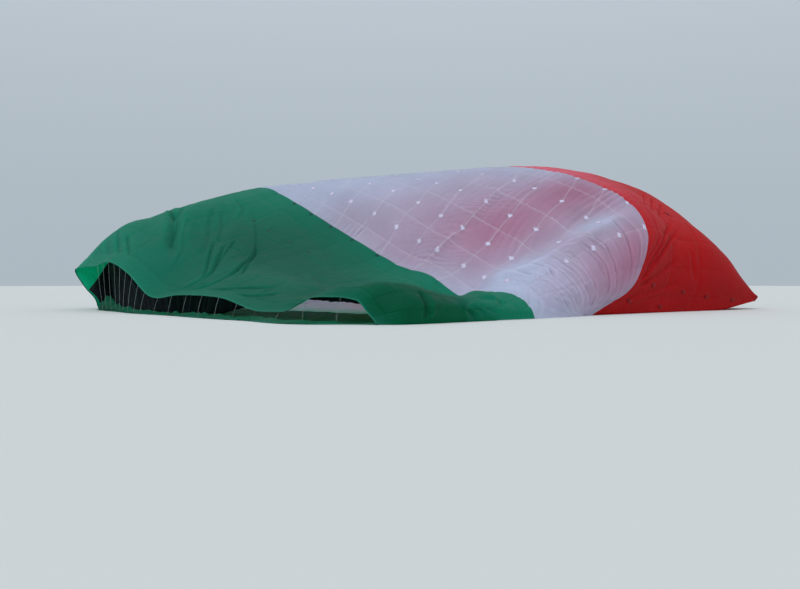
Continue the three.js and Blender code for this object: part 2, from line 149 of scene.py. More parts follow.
# Sections across the envelope from the far foot to the near foot, every ninth of the way from mouth to crown.
# ridge is the point where the near wall meets the top; the far wall meets it at the point cloth["shoulder"].
sections = [
    {"ridge": 14, "points": [  # mouth hem
        (-10.35, -17.4, 0), (-11.7, -17.7, 1.3), (-12.9, -17.9, 2.4), (-11.8, -18, 2.6), (-9.5, -18, 2.66),
        (-7.3, -18, 2.86), (-4.8, -18, 2.2), (-1.9, -18, 0.93), (1.4, -18, 1.05), (5.6, -18, 0.95),
        (8.7, -17.95, 0.42), (10.2, -17.8, 0.53), (11.5, -17.6, 0.89), (13.3, -17, 0.94),
        (14.1, -16.72, 0.93), (14.5, -16.55, 0.52), (14.75, -16.45, 0.24), (15, -16.4, 0)]},
    {"ridge": 11, "points": [
        (-11.6, -14.6, 0), (-13.5, -14.9, 2.5), (-13.4, -15.3, 4.3), (-11.8, -15.3, 5.3), (-8, -15.1, 5.05),
        (-4, -15, 3.7), (0, -15, 2.5), (4, -15.2, 1.9), (8, -15.2, 1.35), (11.5, -15, 1.05),
        (13.6, -15, 1.35), (14.8, -15.2, 1.62), (15.8, -15.2, 0.8), (15.6, -15.2, 0)]},
    {"ridge": 11, "points": [
        (-12.6, -11, 0), (-14.3, -11, 3), (-13.6, -11.2, 5.6), (-11.6, -11.3, 6.65), (-8.5, -11.4, 6.65),
        (-4.5, -11.4, 5.2), (0, -11.4, 3.6), (4, -11.4, 2.5), (8, -11.4, 1.5), (11, -11.4, 1),
        (13, -11.4, 1.05), (14.5, -11.4, 1.1), (15.6, -11.4, 0.6), (15.5, -11.4, 0)]},
    {"ridge": 11, "points": [  # green to white seam
        (-13.6, -6.4, 0), (-14.8, -6.4, 3.2), (-13.6, -6.4, 6.2), (-11.2, -6.5, 7.9), (-8.7, -6.6, 8.15),
        (-4.2, -6.8, 6.6), (1.4, -7, 4.3), (5.7, -7, 2.6), (8.3, -7.1, 2), (10.7, -7.2, 0.95),
        (12.4, -7.3, 1.25), (14, -7.4, 1.15), (15.2, -7.4, 0.6), (15.5, -7.4, 0)]},
    {"ridge": 10, "points": [
        (-13.8, -2.6, 0), (-15, -2.8, 3.4), (-13.6, -3.2, 6.6), (-10.9, -3.6, 8.25), (-7, -3.9, 8.6),
        (-3.2, -4, 8.1), (1.6, -4.4, 6.85), (5.9, -4.7, 5), (9.7, -4.9, 3.3), (12.8, -5.1, 2.25),
        (14, -5.2, 2), (15.1, -5.4, 1.1), (15.3, -5.7, 0)]},
    {"ridge": 10, "points": [
        (-13.9, 1, 0), (-15, 0.8, 3.5), (-13.6, 0.4, 6.7), (-10.6, 0, 8.4), (-6, -0.2, 9), (-2, -0.4, 8.88),
        (1.2, -0.5, 8.4), (4.8, -0.6, 7.6), (8.9, -0.9, 6), (12.4, -1.1, 4.35), (13.7, -1.3, 3.6),
        (14.8, -1.9, 2), (15, -3.4, 0)]},
    {"ridge": 9, "points": [  # white to red seam
        (-13.6, 4.4, 0), (-14.7, 4.4, 3.4), (-13.2, 4.4, 6.5), (-10.2, 4.3, 8.1), (-5, 4.2, 9.1),
        (0, 4.2, 9.4), (5.5, 4.2, 9), (9.2, 4.4, 8), (12.6, 4.3, 6.4), (14.1, 4, 4.7), (14.7, 2.8, 2.8),
        (14.8, 1.2, 1.2), (14.4, -0.5, 0)]},
    {"ridge": 9, "points": [
        (-13.2, 8, 0), (-14.2, 8, 2.9), (-12.8, 8, 5.8), (-10, 8, 7.6), (-5, 8.1, 8.8), (0, 8.2, 9.25),
        (5, 8.3, 9.1), (9.2, 8.3, 8.1), (12.2, 8, 6.3), (13.9, 7.3, 4.2), (14.6, 6, 1.9), (14.6, 4.6, 0)]},
    {"ridge": 9, "points": [
        (-12.8, 11.4, 0), (-13.6, 11.6, 2.1), (-12.3, 11.9, 4.3), (-9.6, 12.1, 5.9), (-5, 12.2, 7),
        (0, 12.4, 7.5), (5, 12.5, 7.5), (9.4, 12.5, 6.7), (12.5, 12.3, 5), (14.2, 11.9, 3.7), (15, 11, 1.7),
        (14.9, 9.9, 0)]},
    {"ridge": 9, "points": [  # crown edge
        (-12.6, 14.4, 0), (-12.6, 14.8, 0), (-12.1, 15.2, 0), (-9, 15.5, 0), (-5, 15.6, 0), (0, 15.7, 0),
        (5, 15.7, 0.02), (9, 15.6, 0.12), (12, 15.35, 0.42), (14.35, 15.15, 0.92), (15.2, 14.8, 0.84),
        (15.42, 13.7, 0.42)]},
]
toFrame = np.array([-0.39072, 1.55958, 0.0])  # from the section table's origin to the middle of the part
cloth = {
    "farWall": 6, "top": 24, "nearWall": 5,  # columns of the cloth grid in each part of a section
    "shoulder": 3, "rowsPerSection": 3, "curveSteps": 40,
    "fine": 16,  # points of the surface table to a column or a row
    "pitch": 1.2,  # a column or a row is about this long
    "thickness": 0.005,
    "foot": 0.013,  # the lowest that the upper skin comes
    "pulledIn": 0.5,  # how far the far wall is pulled in at the mouth, above its foot
    "heldUp": 0.11,  # how far the hem is held up over the way in
    "hangsDown": 0.19,  # and how far it hangs down beside that place
    "underTip": (-0.10, 0.60, 0.10),  # draws the near foot of the crown edge out to a point
    "overTip": (0.0, 0.05, 0.20),  # and fills out the cloth above it
    "seamFoot": (0.25, -1.3, 0.0),  # the near foot of the white to red seam has slipped forward
}
columns = cloth["farWall"] + cloth["top"] + cloth["nearWall"]
rows = (len(sections) - 1) * cloth["rowsPerSection"]
greenEnd, whiteEnd = rows / 3, rows * 2 / 3  # the rows of the two seams between the stripes
fine = cloth["fine"]


def hermite(p1, p2, m1, m2, t):
    # one span of a cubic from p1 to p2 with end slopes m1 and m2
    return p1 + m1 * t + (3 * p2 - 3 * p1 - 2 * m1 - m2) * t * t + (2 * p1 - 2 * p2 + m1 + m2) * t ** 3


def denseCurve(points):
    # a smooth curve through points
    points, steps = np.array(points, float), cloth["curveSteps"]
    ends = np.vstack([2 * points[0] - points[1], points, 2 * points[-1] - points[-2]])
    dense = []
    for i in range(len(points) - 1):
        p0, p1, p2, p3 = ends[i:i + 4]
        d0, d1, d2 = (max(np.linalg.norm(b - a), 1e-4) ** 0.5 for a, b in ((p0, p1), (p1, p2), (p2, p3)))
        m1 = ((p1 - p0) / d0 - (p2 - p0) / (d0 + d1) + (p2 - p1) / d1) * d1
        m2 = ((p2 - p1) / d1 - (p3 - p1) / (d1 + d2) + (p3 - p2) / d2) * d1
        dense += [hermite(p1, p2, m1, m2, t / steps) for t in range(steps)]
    return np.array(dense + [points[-1]])


def evenPoints(stretch, shares):
    # points at shares of the length of a line of points
    along = np.r_[0, np.cumsum(np.linalg.norm(np.diff(stretch, axis=0), axis=1))]
    return np.stack([np.interp(shares * along[-1], along, values) for values in stretch.T], axis=-1)


def acrossSection(section):
    # points at even spacing along the far wall, the top and the near wall of one section
    dense, steps = denseCurve(section["points"]), cloth["curveSteps"]
    found = [dense[:1]]
    meets = [0, cloth["shoulder"] * steps, section["ridge"] * steps, len(dense) - 1]
    for first, last, count in zip(meets, meets[1:], (cloth["farWall"], cloth["top"], cloth["nearWall"])):
        found.append(evenPoints(dense[first:last + 1], np.arange(1, count * fine + 1) / (count * fine)))
    return np.vstack(found)


def smoothSurface():
    # the unwrinkled surface, one line of points for each fine row
    lines = np.array([acrossSection(section) for section in sections])
    ends = np.concatenate([2 * lines[:1] - lines[1:2], lines, 2 * lines[-1:] - lines[-2:-1]])
    found = []
    for j in range(rows * fine + 1):
        place = j / (cloth["rowsPerSection"] * fine)
        i = min(int(place), len(sections) - 2)
        p0, p1, p2, p3 = ends[i:i + 4]
        found.append(hermite(p1, p2, (p2 - p0) / 2, (p3 - p1) / 2, place - i))
    return np.array(found) + toFrame


def normalsOf(surface):
    across, back = np.gradient(surface, axis=1), np.gradient(surface, axis=0)
    normal = np.cross(across, back)
    return normal / np.maximum(np.linalg.norm(normal, axis=2, keepdims=True), 1e-9)


def pick(table, column, row):
    # a value from a table over the fine grid, at any column and row
    c = np.clip(np.asarray(column, float) * fine, 0, table.shape[1] - 1.000001)
    r = np.clip(np.asarray(row, float) * fine, 0, table.shape[0] - 1.000001)
    c0, r0 = np.floor(c).astype(int), np.floor(r).astype(int)
    u, v = c - c0, r - r0
    if table.ndim == 3:
        u, v = u[..., None], v[..., None]
    return ((table[r0, c0] * (1 - u) + table[r0, c0 + 1] * u) * (1 - v)
            + (table[r0 + 1, c0] * (1 - u) + table[r0 + 1, c0 + 1] * u) * v)


def smoothStep(value, low, high):
    t = np.clip((value - low) / (high - low), 0, 1)
    return t * t * (3 - 2 * t)


def window(value, low, full, high, fade):
    # rises from low to full, and falls back over the last stretch, of length fade, before high
    return smoothStep(value, low, full) * smoothStep(high - value, 0, fade)


def softNoise(x, y, seed):
    # smooth noise from 0 to 1, one lump for each unit
    size = 64
    lattice = np.random.default_rng(seed).random((size, size))
    x, y = np.broadcast_arrays(np.asarray(x, float), np.asarray(y, float))
    i, j = np.floor(x).astype(int), np.floor(y).astype(int)
    u, v = smoothStep(x - i, 0, 1), smoothStep(y - j, 0, 1)
    a, b, c, d = (lattice[(j + below) % size, (i + beside) % size] for below in (0, 1) for beside in (0, 1))
    return (a * (1 - u) + b * u) * (1 - v) + (c * (1 - u) + d * u) * v


gridColumns = np.linspace(0, columns, columns * fine + 1)[None, :]
gridRows = np.linspace(0, rows, rows * fine + 1)[:, None]
plain = smoothSurface()
for name, share in (
        ("underTip", smoothStep(gridRows, 24.6, 27.0) * smoothStep(gridColumns, 31.6, 34.6)),
        ("overTip", window(gridRows, 23.6, 25.2, 27.3, 1.3) * window(gridColumns, 28.5, 30.5, 33.4, 1.8)),
        ("seamFoot", smoothStep(gridColumns, 33.0, 35.0) * np.exp(-((gridRows - whiteEnd) / 2.0) ** 2))):
    plain += share[:, :, None] * np.array(cloth[name])
plainNormals = normalsOf(plain)
print("cloth surface:", plain.shape)

# The tapes that are sewn along the envelope. On the ground they drift sideways over the columns: for some
# rows, the columns of tapes firstTape, firstTape + 1 and so on, with even tapes past both ends.
tapeLines = [
    {"row": 6.8, "firstTape": -1, "columns": (12.7, 14.4, 16.5, 18.3, 21.2)},
    {"row": 9.0, "firstTape": -1, "columns": (12.1, 14.0, 16.1, 18.2, 20.4, 21.9, 22.95, 25.0)},
    {"row": 10.8, "firstTape": 0, "columns": (13.4, 15.5, 17.9, 20, 22, 23.6, 25.6, 27.1, 28.7, 29.3, 29.9)},
    {"row": 12.6, "firstTape": 1, "columns": (15.0, 17.4, 19.8, 21.9, 23.8, 25.8, 27.5, 28.8, 29.6, 30.4)},
    {"row": 14.4, "firstTape": 2, "columns": (17.1, 18.8, 20.9, 23.2, 25.2, 27.2, 28.9, 29.7, 30.4)},
    {"row": 16.2, "firstTape": 4, "columns": (19.8, 22.4, 24.0, 26.1, 28.0, 28.9, 30.1)},
    {"row": 18.0, "firstTape": 7, "columns": (24.2, 26.2, 28.0, 29.9)},
]
sewing = {"tapePitch": 2.05, "firstTape": -14, "lastTape": 18, "firstLong": 0.9, "betweenLong": 1.8,
          "dip": 0.022, "crossDip": 0.8, "width": 0.09, "pillow": 0.03, "fullness": 0.6}


def tapeTable():
    # the column of every tape in every listed row
    tapes = np.arange(sewing["firstTape"], sewing["lastTape"] + 1)
    table = []
    for line in tapeLines:
        known = line["firstTape"] + np.arange(len(line["columns"]))
        inside = np.interp(tapes, known, line["columns"])
        beyond = np.minimum(tapes - known[0], 0) + np.maximum(tapes - known[-1], 0)
        table.append(inside + beyond * sewing["tapePitch"])
    return tapes, np.array(table)


tapes, tapeColumns = tapeTable()
tapeRows = np.array([line["row"] for line in tapeLines])


def columnOfTape(tape, row):
    return np.interp(row, tapeRows, [np.interp(tape, tapes, line) for line in tapeColumns])


def tapeAt(column, row):
    # the tape number at a column and a row, a fraction between two tapes
    column, row = np.broadcast_arrays(np.asarray(column, float), np.asarray(row, float))
    inEachRow = np.array([np.interp(column, line, tapes) for line in tapeColumns])
    place = np.interp(row, tapeRows, np.arange(len(tapeRows)))
    low = np.minimum(place.astype(int), len(tapeRows) - 2)
    share = place - low
    first = np.take_along_axis(inEachRow, low[None], 0)[0]
    second = np.take_along_axis(inEachRow, low[None] + 1, 0)[0]
    return first * (1 - share) + second * share


def slip(column, row):
    # how many rows back the cloth has slipped on its way down the near side of the white stripe
    down = np.interp(column, (28.8, 30, 31, 32, 33, 34, 34.5, 35), (0, 0.4, 0.7, 0.95, 1.35, 2.2, 2.7, 3.4))
    return down * window(row, greenEnd, 13.5, 18.2, 0.8)


# Folds that the wind and the handling have left, each as width, ridge, roll and a line of (column, row).
# ridge lifts the line, roll lifts the side to the right of it and sinks the other, in metres.
# A fifth value is the fade: the shares of the line over which it begins and ends.
folds = [
    # the green stripe: the notch in its outline and the hollow below it
    (0.34, -0.27, 0.12, [(6, 5.9), (7.2, 5.6), (8.2, 5.1), (8.8, 4.4), (9.8, 4), (10.9, 3.4), (12.2, 2.6),
        (13.5, 2)]),
    (0.16, -0.16, 0.1, [(6.4, 5.2), (7.6, 4.9), (8.9, 4.4), (9.4, 4.3)]),
    (0.1, -0.06, 0.03, [(9.2, 4.6), (10.6, 3.7), (11.8, 2.9), (12.6, 2.4)]),
    (0.5, 0.12, 0, [(7.2, 6.4), (8.6, 5.8), (9.4, 4.9), (10.6, 4.3), (12, 3.6), (13.4, 2.8)]),
    (1, -0.24, 0, [(5, 4.6), (6.4, 4.4), (8.2, 3.6), (9.8, 2.6), (11.4, 1.6)]),
    # short creases over the far end of the mouth
    (0.18, -0.07, 0.03, [(5.6, 2.2), (6, 1.9), (7.5, 1.1), (8.6, 0.5)]),
    (0.15, -0.07, 0.03, [(6.4, 2.5), (7, 2.1), (9, 1), (10.4, 0.3)]),
    (0.12, -0.09, 0.04, [(8, 2.2), (8.6, 1.8), (10.1, 1.1), (11.1, 0.7)]),
    # its soft hanging lobes
    (0.18, -0.05, 0.02, [(9.2, 6.5), (9.8, 6.1), (11.4, 5.2), (12.8, 4.5), (14.4, 3.4), (15.2, 2.2)]),
    (0.15, -0.05, 0.02, [(10.4, 6.4), (11, 6), (12.4, 5.4), (13.8, 4.6), (14.6, 3.9)]),
    (0.4, 0.08, 0, [(11.4, 6.8), (12.8, 5.9), (14.2, 5), (15.4, 3.8), (16, 2.6)]),
    (0.14, -0.05, 0.02, [(10.2, 4.8), (10.6, 4.4), (11.8, 3.6), (13.4, 2.8), (14, 2.1), (14.5, 1.5)]),
    (0.15, -0.06, 0.03, [(9.2, 7.3), (9.8, 7.1), (11, 7), (11.8, 6.5), (12.4, 6.2)]),
    # its sharp creases
    (0.11, -0.13, 0.06, [(14.6, 4.6), (15.1, 4.1), (16.2, 3.2), (17.1, 2.4), (17.4, 1.8), (17.2, 1.2),
        (16.6, 0.8)]),
    (0.08, -0.06, 0.03, [(14.4, 5.2), (14.9, 4.8), (15.5, 4.1), (16.2, 3.4), (16.8, 2.7)]),
    (0.09, -0.09, 0.04, [(13.6, 4.5), (14.2, 4), (15.5, 3.1), (16.4, 2.5), (17.2, 1.8), (17.4, 1.4)]),
    # the long arc where the slack ends
    (0.08, -0.04, 0.02, [(10.2, 7.4), (12.5, 6.9), (13.4, 6.6), (15.1, 5.9), (16.5, 5.1), (16.9, 4.7)]),
    (0.1, -0.12, 0.06, [(15.7, 5.6), (16.5, 5.1), (17.4, 4.1), (18.2, 3.1), (18.8, 2.2), (19, 1.3),
        (18.4, 0.8), (17.2, 0.6)]),
    (0.09, -0.09, 0.04, [(15.9, 5.5), (16.5, 5.1), (17.5, 4.2), (18.8, 3.2), (19.6, 2.5), (20, 2.1)]),
    (0.6, 0, 0.05, [(10.2, 7.2), (12.5, 6.7), (14.5, 6), (16.2, 5), (17.4, 3.8), (18.4, 2.6), (18.9, 1.7)]),
    # creases along the mouth
    (0.09, -0.08, -0.03, [(19.4, 0.9), (20.6, 1), (21.6, 1.4), (22.6, 1.9), (23.4, 2.3)]),
    (0.09, -0.07, -0.03, [(21.6, 0.6), (22.9, 1), (23.6, 1.5), (24.2, 1.9)]),
    (0.1, -0.09, 0.04, [(23.2, 3.2), (22.9, 3.7), (22.8, 4.2), (22.3, 4.9)]),
    (0.12, -0.1, 0.05, [(15.6, 0.5), (16.8, 0.7), (18, 1.1), (18.9, 1.5)]),
    (0.5, -0.09, 0.05, [(13, 8.6), (15.2, 7.8), (17.6, 7.6), (20, 7), (22.4, 6.2)]),
    (0.3, -0.08, 0.05, [(20.6, 5.6), (22.6, 4.8), (24.6, 4.3), (26.6, 3.4)]),
    # the roll at the near side of the mouth, held open behind its crest
    (0.8, 0.3, 0, [(23.4, 0.9), (25.4, 0.9), (27.5, 0.9), (29, 1), (31, 1.1), (33.5, 1.2)]),
    (1.3, 0.26, 0, [(18, 2.4), (20, 2.6), (22.5, 3), (25, 3.2), (27.5, 3.2), (29.8, 3)]),
    (0.15, -0.22, -0.12, [(30.8, 3.9), (32.2, 3.8), (33.2, 3.8), (34.1, 3.8), (34.9, 3.6)]),
    # the lump beside it
    (0.16, -0.24, 0.12, [(29.8, 6.2), (31.1, 6), (32.2, 5.7), (33.4, 5.5), (34.5, 5.9), (34.9, 6.2)]),
    (0.12, -0.1, 0.05, [(31.4, 5.4), (32.4, 5.5), (33.6, 6.1), (34.4, 6.6)]),
    (0.12, -0.09, 0.05, [(31.6, 6.2), (32.6, 6.2), (33.6, 6.6), (34.4, 7.2)]),
    (0.55, 0.2, 0, [(28.4, 7.9), (29.4, 7.6), (30.6, 7.4), (31.8, 7.3)]),
    (0.14, -0.08, 0.05, [(30.6, 7.6), (31.8, 7.6), (32.6, 7.4), (33.6, 7.3)]),
    # the tight tape across the white stripe
    (0.3, 0.1, -0.06, [(23.2, 9), (23.6, 10.8), (23.8, 12.6), (23.2, 14.4), (22.4, 16.2), (21.4, 17.6)]),
    (0.08, 0.045, 0, [(22.4, 8.4), (22.9, 9.2), (23.4, 10.2), (23.7, 11.4), (23.7, 12.4), (23.4, 13.5),
        (23, 14.5), (22.3, 16)]),
    # the crest that the near side of the white stripe hangs from, and the hollow above it
    (0.34, 0.2, 0, [(26.6, 9.4), (27.4, 10.3), (27.9, 10.9), (28.5, 11.6), (29, 12.4), (29.3, 13.2),
        (29.5, 14.2), (29.5, 15), (29.4, 15.6), (29.2, 16.2), (29, 16.8), (28.9, 17.5), (28.8, 18.2)]),
    (0.7, -0.2, 0, [(25.6, 10.2), (26.4, 11), (27.2, 12), (27.8, 13), (28.2, 14.2), (28.2, 15.2), (28, 16),
        (27.8, 16.8), (27.6, 17.6)]),
    # its sharper creases, from the lump to the red seam
    (0.1, -0.06, 0.05, [(28, 10.9), (28.6, 10.8), (29.4, 10.9), (30.6, 10.8), (32.2, 10.6), (33.5, 11),
        (34.6, 11.8)], (0.4, 0.1)),
    (0.11, -0.07, 0.06, [(27.7, 11.4), (28.4, 11.6), (29.1, 11.9), (30.2, 11.9), (31.6, 12.1), (32.8, 12.4),
        (33.9, 13), (34.6, 13.8)], (0.4, 0.1)),
    (0.1, -0.09, 0.07, [(28.6, 11.9), (29.1, 12.5), (29.8, 12.8), (31, 12.6), (32.5, 13), (33.8, 13.9),
        (34.6, 14.9)], (0.4, 0.1)),
    (0.09, -0.08, 0.06, [(29.2, 12.8), (29.8, 13), (30.9, 13.1), (32.2, 13.4), (33.5, 14.1),
        (34.4, 14.8)], (0.4, 0.1)),
    (0.11, -0.1, 0.08, [(29.3, 13.1), (29.8, 13.5), (30.8, 13.6), (31.6, 13.9), (32.8, 14.3), (33.6, 15),
        (34.5, 15.8)], (0.4, 0.1)),
    (0.11, -0.1, 0.08, [(29.6, 13.8), (30, 14.2), (30.9, 14.4), (31.9, 14.6), (32.9, 15.1), (33.8, 15.7),
        (34.5, 16.3)], (0.35, 0.1)),
    (0.1, -0.09, 0.07, [(29.5, 14.8), (30.2, 15.2), (30.9, 15.4), (31.6, 15.7), (32.6, 16),
        (33.6, 16.5)], (0.35, 0.1)),
    (0.1, 0.07, 0.06, [(29.3, 15.1), (29.7, 15.5), (30.2, 15.8), (31.1, 16), (31.9, 16.2), (32.8, 16.5),
        (33.6, 17)], (0.3, 0.1)),
    (0.1, -0.04, 0.05, [(28.6, 16.4), (29.1, 16.6), (29.9, 16.8), (30.6, 16.9), (31.5, 17.1),
        (32.6, 17.4)], (0.4, 0.2)),
    (0.07, -0.05, 0.03, [(29.3, 14), (29.5, 14.3), (29.6, 14.7), (29.6, 15)]),
    # the red stripe: short tight creases at its top, long ones that fan out from the foot of the seam
    (0.12, -0.07, 0.02, [(25.2, 22), (26.7, 20.6), (28.4, 18.9)]),
    (0.12, -0.08, 0.03, [(25.9, 22), (27.2, 20.8), (28.9, 19.1)]),
    (0.12, -0.07, 0.02, [(26.5, 22), (27.6, 21.2), (28.8, 20)]),
    (0.12, -0.08, 0.05, [(33, 18.3), (32.6, 18.5), (31.8, 19), (30.5, 20.2), (29.4, 21.4),
        (28.4, 22.4)], (0.2, 0.4)),
    (0.12, -0.07, 0.04, [(32.7, 18.4), (31.5, 18.8), (30.2, 19.8), (29, 21), (28.3, 21.7)], (0.2, 0.4)),
    (0.12, -0.07, 0.04, [(33.3, 18.4), (33.1, 18.7), (32.6, 19.5), (32, 20.4), (31.4, 21.2)]),
    (0.12, -0.06, 0.03, [(32, 18.1), (31.4, 18.4), (30.7, 18.9), (29.8, 19.7)]),
    (0.14, -0.06, 0.03, [(34.3, 18.5), (33.8, 19.1), (33.5, 20), (33.2, 20.9), (32.8, 21.6)]),
    (0.18, -0.05, 0.02, [(30.4, 21.9), (31.2, 22), (32.1, 22.1), (33, 22.2)]),
]


def lineOnCloth(line):
    # a smooth line on the plain surface through columns and rows, as points about 0.15 m apart
    keys, between, roundings = np.array(line, float), 12, 12
    stations = np.linspace(0, len(keys) - 1, between * (len(keys) - 1) + 1)
    keys = np.stack([np.interp(stations, np.arange(len(keys)), keys[:, k]) for k in (0, 1)], axis=1)
    for _ in range(roundings):
        keys[1:-1] = (keys[:-2] + 2 * keys[1:-1] + keys[2:]) / 4
    return pick(plain, keys[:, 0], keys[:, 1])


def foldRelief(width, ridge, roll, line, fade=(0.3, 0.25)):
    # how far one fold moves each point of the fine grid along its normal
    points = lineOnCloth(line)
    reach = 3.2 * width  # past this it is too slight to show
    low, high = points.min(0) - reach, points.max(0) + reach
    near = np.argwhere(((plain > low) & (plain < high)).all(axis=2))
    relief = np.zeros(plain.shape[:2])
    if not len(near):
        return relief
    spots = plain[near[:, 0], near[:, 1]]
    gaps = np.linalg.norm(spots[:, None] - points[None], axis=2)
    nearest = gaps.argmin(axis=1)
    distance = gaps[np.arange(len(spots)), nearest]
    heading = np.gradient(points, axis=0)[nearest]
    right = np.cross(heading, plainNormals[near[:, 0], near[:, 1]])
    side = np.sign(((spots - points[nearest]) * right).sum(1))
    along = nearest / (len(points) - 1)
    fading = smoothStep(along, 0, fade[0]) * smoothStep(1 - along, 0, fade[1])
    share = distance / width
    bump = ridge * np.exp(-share ** 2) + roll * side * share * np.exp(0.5 - 0.5 * share ** 2)
    relief[near[:, 0], near[:, 1]] = bump * fading
    return relief


def nearestOf(values, first, between):
    # distance to the nearest of an even row of lines
    return np.abs((values - first + between / 2) % between - between / 2)


def seamRelief():
    # the cloth pulls in a little along its sewn tapes, and fills out between them
    long = nearestOf(gridRows - slip(gridColumns, gridRows), sewing["firstLong"], sewing["betweenLong"])
    numbers = tapeAt(gridColumns, gridRows)
    cross = nearestOf(numbers, 0, 1) * sewing["tapePitch"]
    dip = np.exp(-(long / sewing["width"]) ** 2)
    dip += sewing["crossDip"] * np.exp(-(cross / sewing["width"]) ** 2)
    turns = (gridRows - sewing["firstLong"]) / sewing["betweenLong"], numbers
    alongRows, alongTapes = (np.abs(np.sin(np.pi * turn)) ** sewing["fullness"] for turn in turns)
    pillow = alongRows * alongTapes
    return -sewing["dip"] * dip + sewing["pillow"] * (pillow - 0.5)


gathers = {
    "crest": 29.0,  # the column that they hang from
    "white": {"first": 9.8, "last": 18.2, "waves": 1.7, "depth": 0.045},
    "red": {"first": 18.2, "last": 21.5, "waves": 1.0, "depth": 0.007},
}


def gatherRelief(first, last, waves, depth):
    # creases that hang from the crest down the near wall
    down = (gridColumns - gathers["crest"]) / (columns - gathers["crest"])
    band = window(gridRows, first, first + 1.4, last, 0.8)
    phase = (gridRows - slip(gridColumns, gridRows)) * waves
    phase = phase + 0.7 * softNoise(gridRows * 0.8, gridColumns * 0.12, 9)
    saw = phase - np.floor(phase)
    crease = np.minimum(saw / 0.78, (1 - saw) / 0.22)  # rises slowly, falls back fast
    crease = np.sin(crease * np.pi / 2) ** 1.3 - 0.6
    uneven = 0.35 + 1.0 * softNoise(gridRows * 1.35 + 3.1, gridColumns * 0.25, 21)
    return depth * crease * uneven * band * smoothStep(down, 0.0, 0.25)


wrinkles = {
    # undulations everywhere, each as depth, lumps to a column, their slant, lumps to a row, and a noise seed
    "loose": ((0.10, 0.42, 0.0, 0.36, 2), (0.045, 1.1, 0.3, 0.8, 3), (0.022, 2.6, 0.7, 1.5, 4)),
    # fan: short ones square to the green seam; pulled: level ones at the tight tape; streaks: long ones from
    # that tape to the crest. Columns and rows are the windows where they show.
    "fan": {"depth": 0.040, "waves": 2.3, "row": 9.3, "reach": 0.9, "columns": (13, 16, 27, 2)},
    "pulled": {"depth": 0.042, "waves": 2.6, "slant": -0.5, "reach": 1.6, "rows": (9.2, 10.2, 17.2, 2)},
    "streaks": {
        "depth": 0.045, "waves": 2.1, "slant": 0.45, "columns": (19, 23, 28.6, 1), "rows": (11, 14, 18.6, 1)},
    "tightRows": (9.0, 10.8, 12.6, 14.4, 16.2, 17.6),  # where the tight tape runs
    "tightColumns": (23.2, 23.6, 23.8, 23.2, 22.4, 21.4),
}


def wrinkleRelief():
    x, y = gridColumns, gridRows
    loose = sum(depth * (softNoise(x * across + y * slant, y * back, seed) - 0.5)
                for depth, across, slant, back, seed in wrinkles["loose"])
    loose = loose * (1 - 0.5 * smoothStep(y, 19, 21))  # the red stripe is tauter

    kind = wrinkles["fan"]
    phase = x * kind["waves"] + 1.5 * softNoise(x * 0.9, y * 0.6, 6)
    fan = kind["depth"] * np.sin(2 * np.pi * phase) * softNoise(x * 0.8, y * 0.5, 7)
    fan = fan * np.exp(-np.abs(y - kind["row"]) / kind["reach"]) * (y > greenEnd)
    fan = fan * window(x, *kind["columns"])

    kind = wrinkles["pulled"]
    tight = np.interp(y, wrinkles["tightRows"], wrinkles["tightColumns"])
    phase = (y + kind["slant"] * x) * kind["waves"] + 2.2 * softNoise(x * 0.7, y * 1.1, 8)
    pulled = kind["depth"] * np.sin(2 * np.pi * phase) * softNoise(x * 0.6, y * 1.1, 10)
    pulled = pulled * np.exp(-np.abs(x - tight) / kind["reach"]) * window(y, *kind["rows"])

    kind = wrinkles["streaks"]
    phase = (x + kind["slant"] * (y - 15) + 0.5 * softNoise(x * 0.5, y * 0.3, 11)) * kind["waves"]
    streaks = kind["depth"] * np.sin(2 * np.pi * phase) * softNoise(x * 1.1 + y * 0.5, y * 0.45, 12)
    streaks = streaks * window(x, *kind["columns"]) * window(y, *kind["rows"])
    return loose + fan + pulled + streaks


def hollowOf(relief):
    # how sharply the relief bends inward, positive in a crease
    edge = np.pad(relief, 1, mode="edge")
    bend = edge[:-2, 1:-1] + edge[2:, 1:-1] + edge[1:-1, :-2] + edge[1:-1, 2:] - 4 * relief
    return bend * (fine / cloth["pitch"]) ** 2


relief = wrinkleRelief()
for fold in folds:
    relief += foldRelief(*fold)
for colour in ("white", "red"):
    relief += gatherRelief(**gathers[colour])
hollow = hollowOf(relief)
relief += seamRelief()
# the cloth lies smoother at both hems, at the tip and on the ground
relief *= window(gridRows, -0.4, 1.2, rows + 0.3, 1.5)
relief *= 1 - 0.85 * smoothStep(gridRows, 23.2, 25.0) * smoothStep(gridColumns, 27.5, 29.5)
relief *= 0.25 + 0.75 * smoothStep(plain[:, :, 2], 0.0, 0.7)
skin = plain + plainNormals * relief[:, :, None]
skin[:, :, 0] += cloth["pulledIn"] * np.exp(-((gridColumns - 1.3) / 0.8) ** 2) * np.exp(-gridRows / 1.2)
held = cloth["heldUp"] * window(gridColumns, 27.2, 28.2, 29.9, 0.7)
held = held - cloth["hangsDown"] * np.exp(-((gridColumns - 26.8) / 0.75) ** 2)
skin[:, :, 2] += held * np.exp(-gridRows / 2)
skin[:, :, 2] = np.maximum(skin[:, :, 2], cloth["foot"])
skinNormals = normalsOf(skin)
print("folds, seams and gathers: %.2f m in, %.2f m out" % (-relief.min(), relief.max()))


def onSkin(column, row, lift=0.0):
    # a place on the finished skin, lifted off it by lift
    return pick(skin, column, row) + pick(skinNormals, column, row) * lift


# Materials

